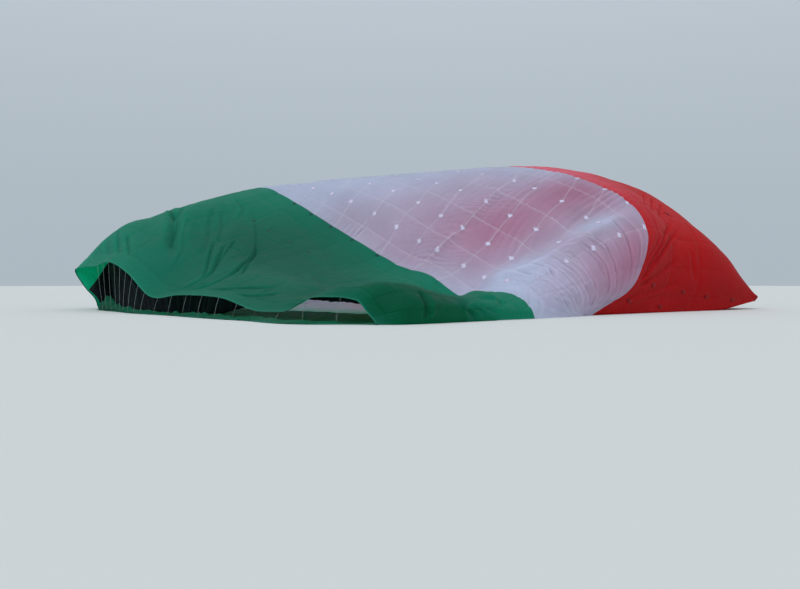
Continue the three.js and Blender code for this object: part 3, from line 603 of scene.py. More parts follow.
def clothMaterial(name, front, through, share, seam, seamShare, rough, deep=None):
    # coated ripstop nylon: thin and crisp, matt in soft light, pale where it is seen edge-on, and it glows
    # with the light from its other side.
    # front is the colour that it throws back, through the colour that it lets pass, share how much passes
    material = bpy.data.materials.new(name)
    add = emptyTree(material)
    place = add("TexCoord").outputs["Object"]
    panels = add("UVMap", uv_map="panels")
    parts = add("SeparateXYZ", {"Vector": panels})

    # sewn tapes: one line each way, drawn 50 mm wide where the real one is 25 mm, to show.
    # X counts the tapes along the envelope, Y counts rows of 1.2 m
    lines = []
    long = ("Y", sewing["firstLong"], sewing["betweenLong"], 0.017)
    for axis, first, between, wide in (long, ("X", 0, 1, 0.011)):
        moved = add("Math", {0: parts.outputs[axis]}, {1: first}, operation="SUBTRACT")
        near = add("Math", {0: moved}, {1: between / 2}, operation="PINGPONG")
        edges = {"From Min": wide * 0.5, "From Max": wide * 1.4, "To Min": 1.0, "To Max": 0.0}
        lines.append(add("MapRange", {"Value": near}, edges))
    tape = add("Math", dict(enumerate(lines)), operation="MAXIMUM")

    # dye and weathering vary a little in soft clouds of a metre or two
    middle = {"From Min": 0.3, "From Max": 0.7}  # what most of a noise lies between
    cloud = add("TexNoise", {"Vector": place}, {"Scale": 0.45, "Detail": 7.0, "Roughness": 0.72})
    clouds = add("MapRange", {"Value": cloud}, {**middle, "To Min": 0.90, "To Max": 1.08})
    colour = add("RGB")
    colour.outputs[0].default_value = linear(front)
    tapeShare = add("Math", {0: tape}, {1: seamShare}, operation="MULTIPLY")
    # painted light and shade: the point attributes tint, towards the colour deep, and shade, a factor capped
    # at 1.42, darken or lighten the cover colour
    if deep:
        tint, shade, sewnIn = (add("Attribute", attribute_name=tone, attribute_type="GEOMETRY").outputs["Fac"]
                               for tone in ("tint", "shade", "sewn"))
        mixed = add("Mix", {0: tint, 6: colour}, {7: linear(deep)}, data_type="RGBA", clamp_factor=True)
        capped = add("Math", {0: shade}, {1: 1.42}, operation="MINIMUM")
        colour = add("VectorMath", {0: mixed.outputs[2], 1: capped}, operation="MULTIPLY")
        tapeShare = add("Math", {0: tapeShare, 1: sewnIn}, operation="MULTIPLY")
    shaded = add("VectorMath", {0: colour, 1: clouds}, operation="MULTIPLY")
    sewn = add("Mix", {0: tapeShare, 6: shaded}, {7: linear(seam)}, data_type="RGBA", clamp_factor=True)

    # ripstop squares of 8 mm are too fine to show, so they are drawn at 60 mm; crumples are 0.1 m to 0.5 m
    squares = add("VectorMath", {0: panels}, {1: (34.0, 20.0, 20.0)}, operation="MULTIPLY")
    threads = {"Scale": 1.0, "Mortar Size": 0.08, "Mortar Smooth": 0.6, "Brick Width": 1.0, "Row Height": 1.0}
    grid = add("TexBrick", {"Vector": squares}, threads, offset=0.0, squash=1.0)
    crumple = add("TexNoise", {"Vector": place},
                  {"Scale": 2.4, "Detail": 6.0, "Roughness": 0.55, "Distortion": 0.9})
    creased = add("TexNoise", {"Vector": place},
                  {"Scale": 5.5, "Detail": 3.0, "Roughness": 0.5, "Distortion": 2.2})
    bumps, under = [], {}
    for height, strength, distance in ((grid.outputs["Fac"], 0.12, 0.004), (creased, 0.35, 0.05),
                                       (crumple, 0.45, 0.10), (tape, 0.6, 0.012)):
        bumps.append(add("Bump", {"Height": height, **under}, {"Strength": strength, "Distance": distance}))
        under = {"Normal": bumps[-1]}
    roughRange = {**middle, "To Min": rough - 0.06, "To Max": rough + 0.06}
    roughness = add("MapRange", {"Value": crumple}, roughRange)

    cover = add("BsdfPrincipled", {"Base Color": sewn.outputs[2], "Roughness": roughness, "Normal": bumps[3]},
                {"IOR": 1.5, "Specular IOR Level": 0.12, "Sheen Weight": 0.07, "Sheen Roughness": 0.35})
    glow = add("BsdfTranslucent", {"Normal": bumps[2]}, {"Color": linear(through)})
    # painted light: where shade is well over 1, on the green far wall's inner face by the mouth, the light
    # passed is lifted too
    if deep:  # where shade is well over 1 the cloth lets more light pass
        over = add("Math", {0: shade}, {1: 0.3}, operation="SUBTRACT")
        gain = add("Math", {0: over}, {1: 1.0}, operation="MAXIMUM")
        passed = add("VectorMath", {1: gain}, {0: linear(through)[:3]}, operation="MULTIPLY")
        material.node_tree.links.new(passed.outputs["Vector"], glow.inputs["Color"])
    both = add("MixShader", {1: cover, 2: glow}, {0: share})
    add("OutputMaterial", {"Surface": both})
    return material


def webbingMaterial(name, hexColour, rough=0.75, ribs=26.0):
    # woven polyester tape: matt, with fine ribs across it
    material = bpy.data.materials.new(name)
    add = emptyTree(material)
    place = add("TexCoord").outputs["Object"]
    waves = {"Scale": ribs, "Distortion": 0.6, "Detail": 1.0}
    ribbed = add("TexWave", {"Vector": place}, waves, bands_direction="X")
    worn = add("TexNoise", {"Vector": place}, {"Scale": 3.0, "Detail": 4.0})
    shade = add("MapRange", {"Value": worn}, {"To Min": 0.8, "To Max": 1.15})
    colour = add("VectorMath", {1: shade}, {0: linear(hexColour)[:3]}, operation="MULTIPLY")
    bump = add("Bump", {"Height": ribbed.outputs["Fac"]}, {"Strength": 0.5, "Distance": 0.004})
    shader = add("BsdfPrincipled", {"Base Color": colour, "Normal": bump},
                 {"Roughness": rough, "Specular IOR Level": 0.12})
    add("OutputMaterial", {"Surface": shader})
    return material


# For a cloth: name, colour, colour that it lets pass, how much, tape colour, how much that shows, roughness,
# and the colour where its tint is deepest: painted shade on the green, painted red light on the white, and a
# painted pale highlight on the red.
materials = {
    "green": clothMaterial("green coated nylon", "128670", "48f4cc", 0.48, "1c6b58", 0.35, 0.5, "04624c"),
    # the white's pale blue is partly the cloth's white and partly painted blue skylight
    "white": clothMaterial("white coated nylon", "cfdcf0", "faf4fa", 0.55, "f8f8ff", 0.62, 0.5, "c07a98"),
    "red": clothMaterial("red coated nylon", "d20a10", "f83038", 0.42, "8a1016", 0.35, 0.5, "f98298"),
    "whiteBelow": clothMaterial("white coated nylon on the ground", "eceef6", "000000", 0, "f0f0fa",
                                0.4, 0.5),
    "black": clothMaterial("black aramid cloth", "10151a", "000000", 0, "181c22", 0.4, 0.8),
    "tape": webbingMaterial("green polyester tape", "23705f"),
    "hemTape": webbingMaterial("dark green polyester tape", "1d7a60"),
    "redTape": webbingMaterial("red polyester tape", "8c1f26"),
    "rope": webbingMaterial("weathered polyester cord", "a6b4ae", 0.7, 60.0),
}
# the patches pass no light, as doubled cloth lets little through, and their colours are darker than the
# cloth's: painted shade
for colour, front in (("green", "124f43"), ("white", "cbc2d6"), ("red", "84080e")):
    materials[f"{colour}Patch"] = clothMaterial(f"doubled {colour} nylon", front, "000000", 0, front, 0, 0.6)
print("materials:", len(materials))

# Pieces


def addObject(name, mesh, material, thickness=0.0, offset=-1.0):
    piece = linked(name, mesh)
    mesh.materials.append(material)
    mesh.shade_smooth()
    if thickness:
        wall = piece.modifiers.new("cloth thickness", "SOLIDIFY")
        wall.thickness, wall.offset = thickness, offset
    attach(piece, "root")
    return piece


def clothMesh(name, acrossStops, backStops, placeAt, tones=None, panelsAt=None):
    # a grid of cloth: placeAt turns each pair of stops into a place, panelsAt into tape and row numbers,
    # and tones holds the functions that give each place its tint and its shade
    acrossStops, backStops = np.asarray(acrossStops, float), np.asarray(backStops, float)
    bm = bmesh.new()
    bmesh.ops.create_grid(bm, x_segments=len(acrossStops) - 1, y_segments=len(backStops) - 1, size=0.5)
    mesh = meshFrom(bm, name)
    flat = np.empty(len(mesh.vertices) * 3)
    mesh.vertices.foreach_get("co", flat)
    flat = flat.reshape(-1, 3) + 0.5
    u = acrossStops[np.rint(flat[:, 0] * (len(acrossStops) - 1)).astype(int)]
    v = backStops[np.rint(flat[:, 1] * (len(backStops) - 1)).astype(int)]
    mesh.vertices.foreach_set("co", placeAt(u, v).ravel())
    corners = np.empty(len(mesh.loops), np.int32)
    mesh.loops.foreach_get("vertex_index", corners)
    panels = mesh.uv_layers.new(name="panels")
    sewn = panelsAt(u, v) if panelsAt else (u, v)
    panels.data.foreach_set("uv", np.stack(sewn, axis=1)[corners].ravel())
    for tone, toneAt in (tones or {}).items():
        values = mesh.attributes.new(tone, "FLOAT", "POINT")
        values.data.foreach_set("value", toneAt(u, v).astype(np.float32))
    mesh.update()
    return mesh


def stops(first, last, step):
    return np.linspace(first, last, max(1, int(round((last - first) / step))) + 1)


def hill(x, y, spot, power=1.0):
    # a soft round hill; spot is its x, y, width, depth and height
    middleX, middleY, wide, deep, high = spot
    return high * np.exp(-(((x - middleX) / wide) ** 2 + ((y - middleY) / deep) ** 2) ** power)


def blobs(u, v, spots):
    # how much there is of a tone at a column and a row
    return np.clip(sum(hill(u, v, spot) for spot in spots), -0.8, 1)


# painted shade in the creases and a painted highlight on the crests, from how sharply the relief bends
paintedCreaseShading = {  # creases are darker, crests a little lighter
    "green": {"gain": 0.024, "darkest": 0.34, "lightest": 0.12},
    "white": {"gain": 0.019, "darkest": 0.26, "lightest": 0.21},
    "red": {"gain": 0.020, "darkest": 0.30, "lightest": 0.10},
}
# Spots of tone, each as column, row, width over the columns, depth over the rows, and how much.
# tint: painted shade where the green is deepest, painted red light that shows through the white, and a
# painted pale highlight where the red is pale.
# shade: painted shade where less light comes through from behind, and painted light where much is below 0.
paintedTintSpots = {
    "green": [
        (33, 3, 3.6, 5, 1), (27, 3, 4, 4, 0.6), (18, 1, 9, 1.8, 0.4), (16, 6.4, 7, 3.4, 0.35),
        (29, 2.6, 3, 1.6, 0.35), (33, 7.2, 2.4, 1.4, -0.75)],
    "white": [
        (26, 14.2, 3.2, 3.4, 0.72), (22, 11.8, 4.8, 3.2, 0.5), (25.6, 17.2, 2.4, 1.4, 0.5),
        (32.2, 16.2, 2.6, 2.6, 0.75), (16.5, 9.6, 3, 1.6, 0.22), (28.7, 11.6, 1.2, 1.8, -0.38),
        (28.9, 16.2, 0.7, 1.1, -0.4), (32.6, 11.6, 2.4, 2, 0.2), (30.6, 17.4, 2.6, 0.8, 0.35),
        (20.6, 15.6, 2.6, 1.6, 0.16), (21.5, 9.5, 3, 0.9, 0.18)],
    "red": [(21.5, 18.4, 5, 1.4, 0.85)],
}
paintedLightAndShadeSpots = {
    "green": [
        (16, 6.6, 5.5, 3.6, 0.3), (33, 3, 4, 5, 0.25), (22, 5, 7, 3.6, 0.25),
        (12.8, 4.2, 3.4, 2.2, 0.1), (18, 8.2, 4, 1.2, 0.06), (3, 0.8, 3.4, 2.6, -0.48),
        (23.5, 1.2, 4, 1.6, 0.07)],
    "white": [
        (14.5, 9.6, 6, 1.8, 0.12), (33, 15, 2.6, 3.4, -0.04), (30.4, 17.3, 1.6, 1.2, -0.07),
        (28.9, 12.6, 0.8, 2.4, -0.05), (28.7, 16.4, 0.6, 1.4, -0.06), (32.6, 11.6, 2.4, 2, 0.05)],
    "red": [(33.5, 20.5, 3.4, 9, 0.28), (31.5, 26.5, 4, 2.5, 0.1)],
}


def evenTapes(column, row):
    return column / sewing["tapePitch"], row


def evenTones(tint, shade, sewn):
    # the same tone all over
    return {name: (lambda u, v, value=value: np.full_like(u, value))
            for name, value in (("tint", tint), ("shade", shade), ("sewn", sewn))}


def tapesAndRows(column, row):
    return tapeAt(column, row), row - slip(column, row)


# painted shade in creases and a painted highlight on crests, as a factor on the cloth's colour
def paintedCreaseShade(u, v, colour):
    tone = paintedCreaseShading[colour]
    return 1 - np.clip(pick(hollow, u, v) * tone["gain"], -tone["lightest"], tone["darkest"])


def skinTones(colour):
    return {"tint": lambda u, v: blobs(u, v, paintedTintSpots[colour]),
            "shade": lambda u, v: (1 - blobs(u, v, paintedLightAndShadeSpots[colour])) * paintedCreaseShade(u, v, colour),
            "sewn": lambda u, v: 1 - smoothStep(u, 30.8, 31.8)}  # the gathers hide the tapes on the near side


# The mesh follows every point of the surface table where the cloth is creased, and every second one elsewhere
every, second = 1 / fine, 2 / fine
greenRows, whiteRows = stops(0, greenEnd, every), stops(greenEnd, whiteEnd, every)
redFar = np.r_[stops(whiteEnd, 26.875, second), 26.9]
redNear = np.r_[stops(whiteEnd, 23, every), stops(23, 26.875, second)[1:], 26.9]
skinPieces = {
    "green": {"rows": (greenRows, greenRows), "flat": ((22.0, 12.2), (15.6, 10.7))},
    "white": {"rows": (whiteRows, whiteRows), "flat": ((23.4, 11.3), (17.2, 12.0))},
    "red": {"rows": (redFar, redNear), "flat": ((21.2, 15.2), (17.2, 14.7))},
}
skinColumns = {"far": np.r_[stops(0, 6, second), stops(6, 18, every)[1:]], "near": stops(18, columns, every)}
for colour, facts in skinPieces.items():
    tones = skinTones(colour)
    for half, backStops, flat in zip(("far", "near"), facts["rows"], facts["flat"]):
        name = f"{colour}_skin_{half}"
        mesh = clothMesh(name, skinColumns[half], backStops, onSkin, tones, tapesAndRows)
        piece = addObject(name, mesh, materials[colour], cloth["thickness"])
        bands = (1, 2) if half == "far" else (3, 4)
        tops = [f"top_{colour}_{band}{i}" for band in "ab" for i in bands]
        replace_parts(piece, f"{half}_wall_{colour}", *tops)

# Lower skin

lower = {
    "margin": 0.08, "top": 0.010, "under": 0.014, "thickness": 0.004, "hemWidth": 0.12,
    "firstRow": 2.0,  # the first row is longer here, because the mouth edge is bulged forward
    # rolls of crumpled cloth along the mouth edge, with their distance behind it and how that sways
    "rolls": [
        {"behind": 0.30, "sway": -0.08, "swayRate": 1.3, "swayStart": 0, "width": 0.17, "height": 0.30},
        {"behind": 0.68, "sway": -0.1, "swayRate": 0.9, "swayStart": 2, "width": 0.13, "height": 0.15}],
    "rollEnds": (0.03, 0.06),  # they fade over this share of the edge at its far and its near end
    "behindCurtain": (-15.52, 0.25),  # the curtain's foot stands behind this y, and needs that much room
    # cloth that has bunched up at the mouth: x, y, width, depth and height of each mound
    "mounds": [
        (-10.35, -15.75, 0.40, 0.25, 0.50), (-9.3, -15.85, 0.50, 0.27, 0.88), (-8.5, -15.95, 0.6, 0.25, 0.62),
        (-7.4, -16.1, 0.8, 0.25, 0.42), (-5.6, -16.3, 1.1, 0.25, 0.30)],
    "swell": (-8.9, 1.7, 2.8, 1.5, 0.42),  # likewise, a rise in the white cloth that shows through the mouth
}
# The mouth edge of the lower skin between the feet of the hem.
frontEdge = [
    (-9.6, -17.55), (-8.2, -17.75), (-6.6, -17.85), (-4.9, -18.15), (-3.2, -18.35), (-1, -18.3), (1.6, -18.3),
    (4.2, -18.5), (6.6, -18.55), (8.8, -18.5), (10.6, -18.75), (12, -18.75), (13, -18.3), (13.7, -17.4),
    (14.3, -16.75)]
hemFeet = plain[0, 0, :2], plain[0, -1, :2]
frontLine = denseCurve(np.vstack([hemFeet[0], np.array(frontEdge) + toFrame[:2], hemFeet[1]]))


def footAt(share, row):
    # the lower skin between the feet of the walls, bulged forward at the mouth
    far, near = pick(plain, np.zeros_like(row), row), pick(plain, np.full_like(row, columns), row)
    point = far + (near - far) * share[:, None]
    bulge = evenPoints(frontLine, share) - (hemFeet[0] + (hemFeet[1] - hemFeet[0]) * share[:, None])
    point[:, :2] += bulge * np.clip(1 - row, 0, 1)[:, None]
    point[:, 2] = lower["top"]
    return point


def raisedBy(height):
    # how far the lower skin rises under cloth of that height
    return np.maximum(lower["top"], height - lower["under"]) - lower["top"]


def liftAt(row):
    # how far the lower skin has followed the crown edge up
    nearHeight = raisedBy(pick(plain, np.full_like(row, columns), row)[..., 2])
    return nearHeight / raisedBy(pick(plain, np.full_like(row, columns), np.full_like(row, rows))[..., 2])


def rippleAt(x, y, share, row):
    # low wrinkles inside, away from the seams
    clear = smoothStep(np.minimum(share, 1 - share), 0.004, 0.05) * smoothStep(rows - row, 0.2, 1.5)
    ripple = 0.05 * softNoise(x * 1.1 + y * 0.3, y * 0.7, 31) ** 2 + 0.02 * softNoise(x * 3, y * 2.4, 32)
    return ripple * clear * smoothStep(row, 0.9, 2.5)


def crumpleAt(x, y, share, row):
    # the loose cloth at the mouth edge, in rolls and mounds
    behind = row * lower["firstRow"]
    high = np.zeros_like(x)
    for roll in lower["rolls"]:
        middle = roll["behind"] + roll["sway"] * np.sin(x * roll["swayRate"] + roll["swayStart"])
        high += roll["height"] * np.exp(-((behind - middle) / roll["width"]) ** 2)
    farEnd, nearEnd = lower["rollEnds"]
    high *= 0.35 + 0.65 * softNoise(x * 1.6, y * 0.8, 33)
    high *= 0.65 + 0.5 * softNoise(x * 7, y * 9, 34) * softNoise(x * 4, y * 6, 35)
    high *= smoothStep(share, 0, farEnd) * smoothStep(1 - share, 0, nearEnd)
    uneven = 0.72 + 0.5 * softNoise(x * 6, y * 8, 36)
    for mound in lower["mounds"]:
        high = np.maximum(high, hill(x, y, mound, 1.2) * uneven)
    curtainY, room = lower["behindCurtain"]
    return high * smoothStep(curtainY - y, 0, room) * smoothStep(behind, 0, 0.05)


def lowerPlace(u, v):
    # u below 0 is the far margin, past the last column the near one, and v past the last row the crown's
    row = np.clip(v, 0, rows)
    share = np.clip(u, 0, columns) / columns
    point = footAt(share, row)
    lift = np.where(row > whiteEnd, liftAt(row), 0)
    crown = pick(plain, share * columns, np.full_like(row, rows))
    crown0, crown1 = plain[-1, 0], plain[-1, -1]
    straight = crown0 + (crown1 - crown0) * share[:, None]
    point[:, :2] += (crown - straight)[:, :2] * lift[:, None]
    point[:, 2] += raisedBy(crown[:, 2]) * lift
    point[:, 1] += np.clip(v - rows, 0, 1) * lower["margin"]
    outward = footAt(np.ones_like(row), row) - footAt(np.zeros_like(row), row)
    outward *= (lower["margin"] * (1 - lift) / np.linalg.norm(outward, axis=1))[:, None]
    point += outward * (np.clip(u - columns, 0, 1) - np.clip(-u, 0, 1))[:, None]
    x, y = point[:, 0], point[:, 1]
    point[:, 2] += rippleAt(x, y, share, row) + crumpleAt(x, y, share, row) + hill(x, y, lower["swell"])
    return point


def marginStops(step):
    return np.r_[-1.0, stops(0, columns, step), columns + 1.0]


greenBack = np.r_[stops(0, 0.95, 0.02), stops(1, 7, 0.2)]  # finer at the crumpled edge
redBack = np.r_[stops(whiteEnd, rows, 0.2), rows + 1.0]
# tint: how far each is mixed towards its cloth's deepest colour; on the green that is painted shade
lowerPieces = {
    "green": {"back": greenBack, "across": 0.1, "flat": (28.6, 9.9), "tint": 0.9},
    "white": {"back": stops(7, whiteEnd, 0.25), "across": 0.25, "flat": (29.2, 13.2), "tint": 0.2},
    "red": {"back": redBack, "across": 0.2, "flat": (29.0, 11.2), "tint": 0.0},
}
for colour, facts in lowerPieces.items():
    # painted shade: the green and red lower skin are darkened to 0.72 of their colour, and the green's tint
    # of 0.9 is painted shade too
    tones = evenTones(facts["tint"], 0.72, 1.0)
    across, name = marginStops(facts["across"]), f"{colour}_lower_skin"
    mesh = clothMesh(name, across, facts["back"], lowerPlace, tones, evenTapes)
    material = materials["whiteBelow" if colour == "white" else colour]
    piece = addObject(name, mesh, material, lower["thickness"])
    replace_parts(piece, f"lower_{colour}")
print("lower skin pieces:", len(lowerPieces))

# Edge tapes

lowerHemStops = np.array([1.0, 0.67, 0.33, 0.0]) * lower["hemWidth"]  # metres before the edge
hems = {
    "mouth": {"back": (-0.01, 0.0, 0.03, 0.06), "thickness": 0.012, "lift": 0.006},
    "crown": {"back": (26.86, 26.9, 26.95, 27.0), "thickness": 0.008, "lift": 0.005},
    "lower": {"back": lowerHemStops, "thickness": 0.006, "lift": 0.014},
}


def mouthHemPlace(u, v):
    point = onSkin(u, np.clip(v, 0, None), hems["mouth"]["lift"])
    point[:, 1] -= np.clip(-v, 0, None) * cloth["pitch"]
    return point


def crownHemPlace(u, v):
    return onSkin(u, v, hems["crown"]["lift"])


def lowerHemPlace(u, v):
    # the tape on the mouth edge of the lower skin; v is metres before the edge
    share, step = np.clip(u, 0, columns) / columns, 0.004
    ahead, back = (evenPoints(frontLine, np.clip(share + d, 0, 1)) for d in (step, -step))
    along = (ahead - back) / np.linalg.norm(ahead - back, axis=1, keepdims=True)
    point = np.zeros((len(u), 3))
    point[:, :2] = evenPoints(frontLine, share) + np.stack([along[:, 1], -along[:, 0]], axis=1) * v[:, None]
    point[:, :2] += along * (np.clip(u - columns, 0, 1) - np.clip(-u, 0, 1))[:, None] * lower["margin"]
    point[:, 2] = hems["lower"]["lift"] + 0.05 * softNoise(u * 2.3, v * 9, 41) * smoothStep(u, 0, 2)
    return point


for edge, across, placeAt, material, slotName in (
        ("mouth", stops(0, columns, 0.1), mouthHemPlace, "hemTape", "webbing"),
        ("crown", stops(0, columns, 0.1), crownHemPlace, "redTape", "red_cloth"),
        ("lower", marginStops(0.08), lowerHemPlace, "tape", "webbing")):
    mesh = clothMesh(f"{edge}_hem_tape", across, hems[edge]["back"], placeAt)
    piece = addObject(f"{edge}_hem_tape", mesh, materials[material], hems[edge]["thickness"])
    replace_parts(piece, f"{edge}_hem")
print("edge tapes:", len(hems))

# Mouth cord and ties

ties = {
    "first": -9.0 + toFrame[0], "last": 14.2 + toFrame[0], "spacing": 1.6, "radius": 0.005,
    "cordRadius": 0.006, "cordGap": 0.014,  # the cord runs in front of the hem
    "lowest": 0.3,  # no tie where the hem lies lower than this
    "lean": 0.25, "sway": (0.03, -0.02),
}


def tubeAlong(bm, points, radius, sides):
    # a round rope through points: a circle is extruded from one to the next
    points = [Vector(p) for p in points]
    heading = (points[1] - points[0]).normalized()
    circle = bmesh.ops.create_circle(bm, segments=sides, radius=radius, cap_ends=True)["verts"]
    turn = heading.to_track_quat("Z", "Y")
    for vert in circle:
        vert.co = turn @ vert.co + points[0]
    face = circle[0].link_faces[0]
    for i in range(1, len(points)):
        made = bmesh.ops.extrude_face_region(bm, geom=[face])["geom"]
        ring = [g for g in made if isinstance(g, bmesh.types.BMVert)]
        face = [g for g in made if isinstance(g, bmesh.types.BMFace)][0]
        ahead = (points[min(i + 1, len(points) - 1)] - points[i - 1]).normalized()
        bend = heading.rotation_difference(ahead)
        for vert in ring:
            vert.co = bend @ (vert.co - points[i - 1]) + points[i]
        heading = ahead


cordColumns = np.arange(1, columns, 0.25)
cordPath = onSkin(cordColumns, np.zeros_like(cordColumns))
cordPath[:, 1] -= ties["cordRadius"] + ties["cordGap"]
cordPath[:, 2] = np.maximum(cordPath[:, 2], ties["cordRadius"] + 0.015)
footPath = lowerHemPlace(np.linspace(0, columns, 141), np.full(141, lower["hemWidth"] / 2))


def ropeAt(x):
    # one tie between the hem and the lower skin's edge, or nothing where the hem lies low
    places = cordPath[cordColumns > 4]
    hits = np.where((places[:-1, 0] <= x) & (places[1:, 0] > x))[0]
    if not len(hits):
        return None
    i = hits[0]
    share = (x - places[i, 0]) / (places[i + 1, 0] - places[i, 0])
    top = places[i] * (1 - share) + places[i + 1] * share
    if top[2] < ties["lowest"]:
        return None
    foot = np.array([np.interp(x, footPath[:, 0], footPath[:, k]) for k in range(3)]) + (0, 0, 0.02)
    foot[1] = max(foot[1], top[1] - ties["lean"])
    sway = np.array([ties["sway"][0] * math.sin(7 * x), ties["sway"][1], 0])
    return [top * (1 - t) + foot * t + sway * math.sin(math.pi * t) for t in np.linspace(0, 1, 7)]


def ropeMesh(name, paths, radius, sides):
    bm = bmesh.new()
    for path in paths:
        tubeAlong(bm, path, radius, sides)
    return meshFrom(bm, name)


tieSpots = np.arange(ties["first"], ties["last"], ties["spacing"])
tieSpots = np.r_[tieSpots, tieSpots[:4] + ties["spacing"] / 2]  # closer together at the far end
ropes = [rope for rope in map(ropeAt, tieSpots) if rope]
mesh = ropeMesh("mouth_tie_ropes", ropes, ties["radius"], 5)
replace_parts(addObject("mouth_tie_ropes", mesh, materials["rope"]), "mouth_ties")
mesh = ropeMesh("mouth_cord", [cordPath], ties["cordRadius"], 6)
addObject("mouth_cord", mesh, materials["hemTape"])
print("ties:", len(ropes))

# Black curtain

curtain = {
    "footX": -10.3 + toFrame[0], "footPitch": 0.74, "footY": -16.75 + toFrame[1], "footZ": 0.016,
    "offWall": 0.55,  # how far the first pleats stand out from the line between head and foot
    "underSkin": 0.022, "insideWall": 0.03, "thickness": 0.004,
    "footWave": 0.13, "waveRate": 2.1,  # the foot runs in a slow wave
    "gather": 0.05, "pleatRate": 9.0, "ripple": 0.03, "rippleRate": 15,
    "valanceFolds": 0.04, "foldRate": 10, "valanceLeast": 0.15,
    # first and last place and flat size of each drape, then the places and heights of the valance's edge
    "drapes": ((0, 6, (5.6, 3.8)), (6, 11, (4.4, 4.2)), (11, 16, (4.2, 3.0))),
    "valanceLow": ((16, 17.5, 19, 20, 24.5, 27), (0.05, 0.12, 0.45, 0.87, 0.87, 0.76)),
}
# The head runs up the far wall and then along row 2, each place a (column, row).
curtainHead = np.array([(2.2, 0.06), (2.85, 1.5), (3.38, 2.62), (4.8, 2.6), (6, 2.4), (7, 2.2)]
                       + [(column, 2) for column in range(8, 31)], float)
curtainWallFeet = np.array([(0.3, 0.05), (0.2, 0.6), (0.15, 1.3)])  # the foot's first places, on the far wall


def headAt(place):
    # a point of the head, and its row
    column, row = (np.interp(place, np.arange(len(curtainHead)), curtainHead[:, k]) for k in (0, 1))
    return onSkin(column, row, -curtain["underSkin"]), row


def curtainPlace(place, v):
    # v is 0 at the foot and 1 at the head
    head, row = headAt(place)
    footY = curtain["footY"] + curtain["footWave"] * np.sin(place * curtain["waveRate"])
    down = np.stack([curtain["footX"] + curtain["footPitch"] * place, footY,
                     np.full_like(place, curtain["footZ"])], axis=1)
    onWall = [np.interp(place, np.arange(3), curtainWallFeet[:, k]) for k in (0, 1)]
    wallFoot = onSkin(*onWall, -curtain["insideWall"])
    down += (wallFoot - down) * smoothStep(3.0 - place, 0.0, 1.0)[:, None]
    point = down + (head - down) * v[:, None]
    # the first pleats lie against the far wall, which is pulled in there
    besideWall = smoothStep(2.6 - place, 0.0, 1.6) * np.exp(-row / 2.4)
    point[:, 0] += curtain["offWall"] * (besideWall * np.sin(np.pi * np.clip(v, 0, 1)) ** 0.6)
    loose = (1 - v) ** 0.7
    pleat = np.sin(place * curtain["pleatRate"] + 2.2 * softNoise(place * 1.3, v * 0.8, 51))
    point[:, 1] += curtain["gather"] * pleat * loose * smoothStep(v, -0.2, 0.3)
    point[:, 0] += curtain["ripple"] * np.sin(place * curtain["rippleRate"] + 3 * v) * loose
    return point


def valancePlace(place, v):
    # v is 0 at the lower edge and 1 at the head
    head, _ = headAt(place)
    low = head.copy()
    low[:, 1] += curtain["footWave"] / 2 * np.sin(place * curtain["waveRate"])
    low[:, 1] += curtain["valanceFolds"] * np.sin(place * curtain["foldRate"])
    scallop = 0.02 * np.cos(place * np.pi) + 0.03 * np.abs(np.sin(place * 2 * np.pi))
    level = np.interp(place, *curtain["valanceLow"])
    low[:, 2] = np.minimum(head[:, 2] - curtain["valanceLeast"], level + scallop)
    joins = smoothStep(18.0 - place, 0, 2)  # by its first place it stands on the third drape's foot
    low[:, :2] += (curtainPlace(place, np.zeros_like(place)) - low)[:, :2] * joins[:, None]
    return low + (head - low) * v[:, None]


def addCurtain(name, places, heights, placeAt, replaced):
    mesh = clothMesh(name, places, heights, placeAt)
    piece = addObject(name, mesh, materials["black"], curtain["thickness"], 0.0)
    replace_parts(piece, replaced)


for i, (first, last, flat) in enumerate(curtain["drapes"], 1):
    places = stops(first + 0.006, last - 0.006, 0.05)
    addCurtain(f"curtain_drape_{i}", places, stops(0, 1, 0.05), curtainPlace, f"mouth_curtain_{i}")
addCurtain("curtain_valance", stops(16.006, 27.5, 0.05), stops(0, 1, 0.12), valancePlace, "mouth_valance")
print("black curtain: 3 drapes and a valance")

# Patches where cords are sewn on inside

patch = {
    "lift": 0.010, "thickness": 0.005, "slant": (0.661, 0.75, 0.0),  # one side of each patch lies along this
    "green": {"size": (0.20, 0.28), "rows": (6.8, 8.9), "first": 11.0, "last": 21.0},
    "white": {"size": (0.25, 0.36), "rows": (10.8, 12.6, 14.4, 16.2, 17.9), "first": 2.0, "last": 29.2,
              "more": ((29.9, 11.9), (30.4, 13.8), (30.4, 15.4), (30.1, 16.6), (29.9, 17.9))},
    "red": {"size": (0.38, 0.22), "rows": (),
            "more": ((27.8, 21.6), (33.1, 19.6), (33.6, 21.8), (33.9, 23.2), (34.1, 25.1), (34.1, 19),
                     (34.6, 20.9))},
}


def patchMesh(name, centres, size):
    # doubled cloth at each crossing of the tapes, upright on the slope
    bm = bmesh.new()
    slant, step = np.array(patch["slant"]), 0.1
    for column, row in centres:
        normal = pick(skinNormals, column, row)
        side = slant - normal * (slant @ normal)
        side /= np.linalg.norm(side)
        up = np.cross(normal, side)
        across = (pick(skin, column + step, row) - pick(skin, column - step, row)) / (2 * step)
        back = (pick(skin, column, row + step) - pick(skin, column, row - step)) / (2 * step)
        toPanel = np.linalg.pinv(np.stack([across, back], axis=1))  # from metres to columns and rows
        made = bmesh.ops.create_grid(bm, x_segments=3, y_segments=4, size=0.5)["verts"]
        for vert in made:
            shift = toPanel @ (side * vert.co.x * size[0] + up * vert.co.y * size[1])
            vert.co = onSkin(np.clip(column + shift[0], 0.01, columns - 0.01), row + shift[1], patch["lift"])
    bmesh.ops.recalc_face_normals(bm, faces=bm.faces)
    mesh = meshFrom(bm, name)
    panels = mesh.uv_layers.new(name="panels")
    panels.data.foreach_set("uv", np.full(len(mesh.loops) * 2, 0.5))
    return mesh


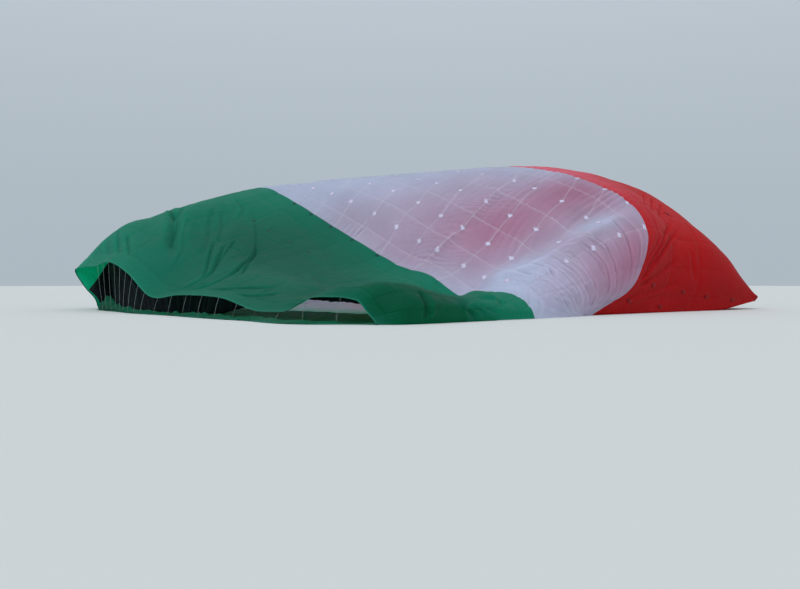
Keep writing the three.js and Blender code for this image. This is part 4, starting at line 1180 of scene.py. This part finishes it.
for colour in ("green", "white", "red"):
    facts = patch[colour]
    centres = [(columnOfTape(tape, row), row) for row in facts["rows"] for tape in tapes]
    centres = [(column, row) for column, row in centres if facts["first"] < column < facts["last"]]
    centres += facts.get("more", ())
    name, material = f"{colour}_patches", materials[f"{colour}Patch"]
    mesh = patchMesh(name, centres, facts["size"])
    addObject(name, mesh, material, patch["thickness"], 0.0)
    print(f"{colour} patches:", len(centres))

# Crown vent

vent = {
    "column": 18, "row": 23, "radius": 2.6,
    "clothLift": 0.012, "ringLift": 0.018,
    "ring": (0.0, 0.05, 0.13, 0.18),  # the tape's stops past the radius
}


def ventSpan(across, back):
    # metres from one side of the vent's middle to the other
    ends = [pick(plain, vent["column"] + s * across, vent["row"] + s * back) for s in (0.5, -0.5)]
    return np.linalg.norm(ends[0] - ends[1])


ventPitch = ventSpan(1, 0), ventSpan(0, 1)  # the length of a column and of a row


def ventPlace(lift):
    def place(turn, radius):
        column = vent["column"] + radius * np.cos(turn) / ventPitch[0]
        row = vent["row"] + radius * np.sin(turn) / ventPitch[1]
        return onSkin(column, row, lift)
    return place


def closedRound(mesh):
    # joins the two ends of a round strip, and the points at its middle
    bm = bmesh.new()
    bm.from_mesh(mesh)
    bmesh.ops.remove_doubles(bm, verts=bm.verts, dist=0.0005)
    bmesh.ops.recalc_face_normals(bm, faces=bm.faces)
    bm.to_mesh(mesh)
    bm.free()
    return mesh


turns = np.linspace(0, 2 * math.pi, 97)
radii, tones = stops(0, vent["radius"], 0.13), evenTones(0.0, 0.95, 0.0)
mesh = closedRound(clothMesh("vent_cloth", turns, radii, ventPlace(vent["clothLift"]), tones))
ventCloth = addObject("vent_cloth", mesh, materials["red"], 0.005)
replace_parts(ventCloth, "vent_panel")
ring = np.array(vent["ring"]) + vent["radius"]
mesh = closedRound(clothMesh("vent_ring", turns, ring, ventPlace(vent["ringLift"])))
ventRing = addObject("vent_ring", mesh, materials["tape"], 0.008)
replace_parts(ventRing, "vent_tape")
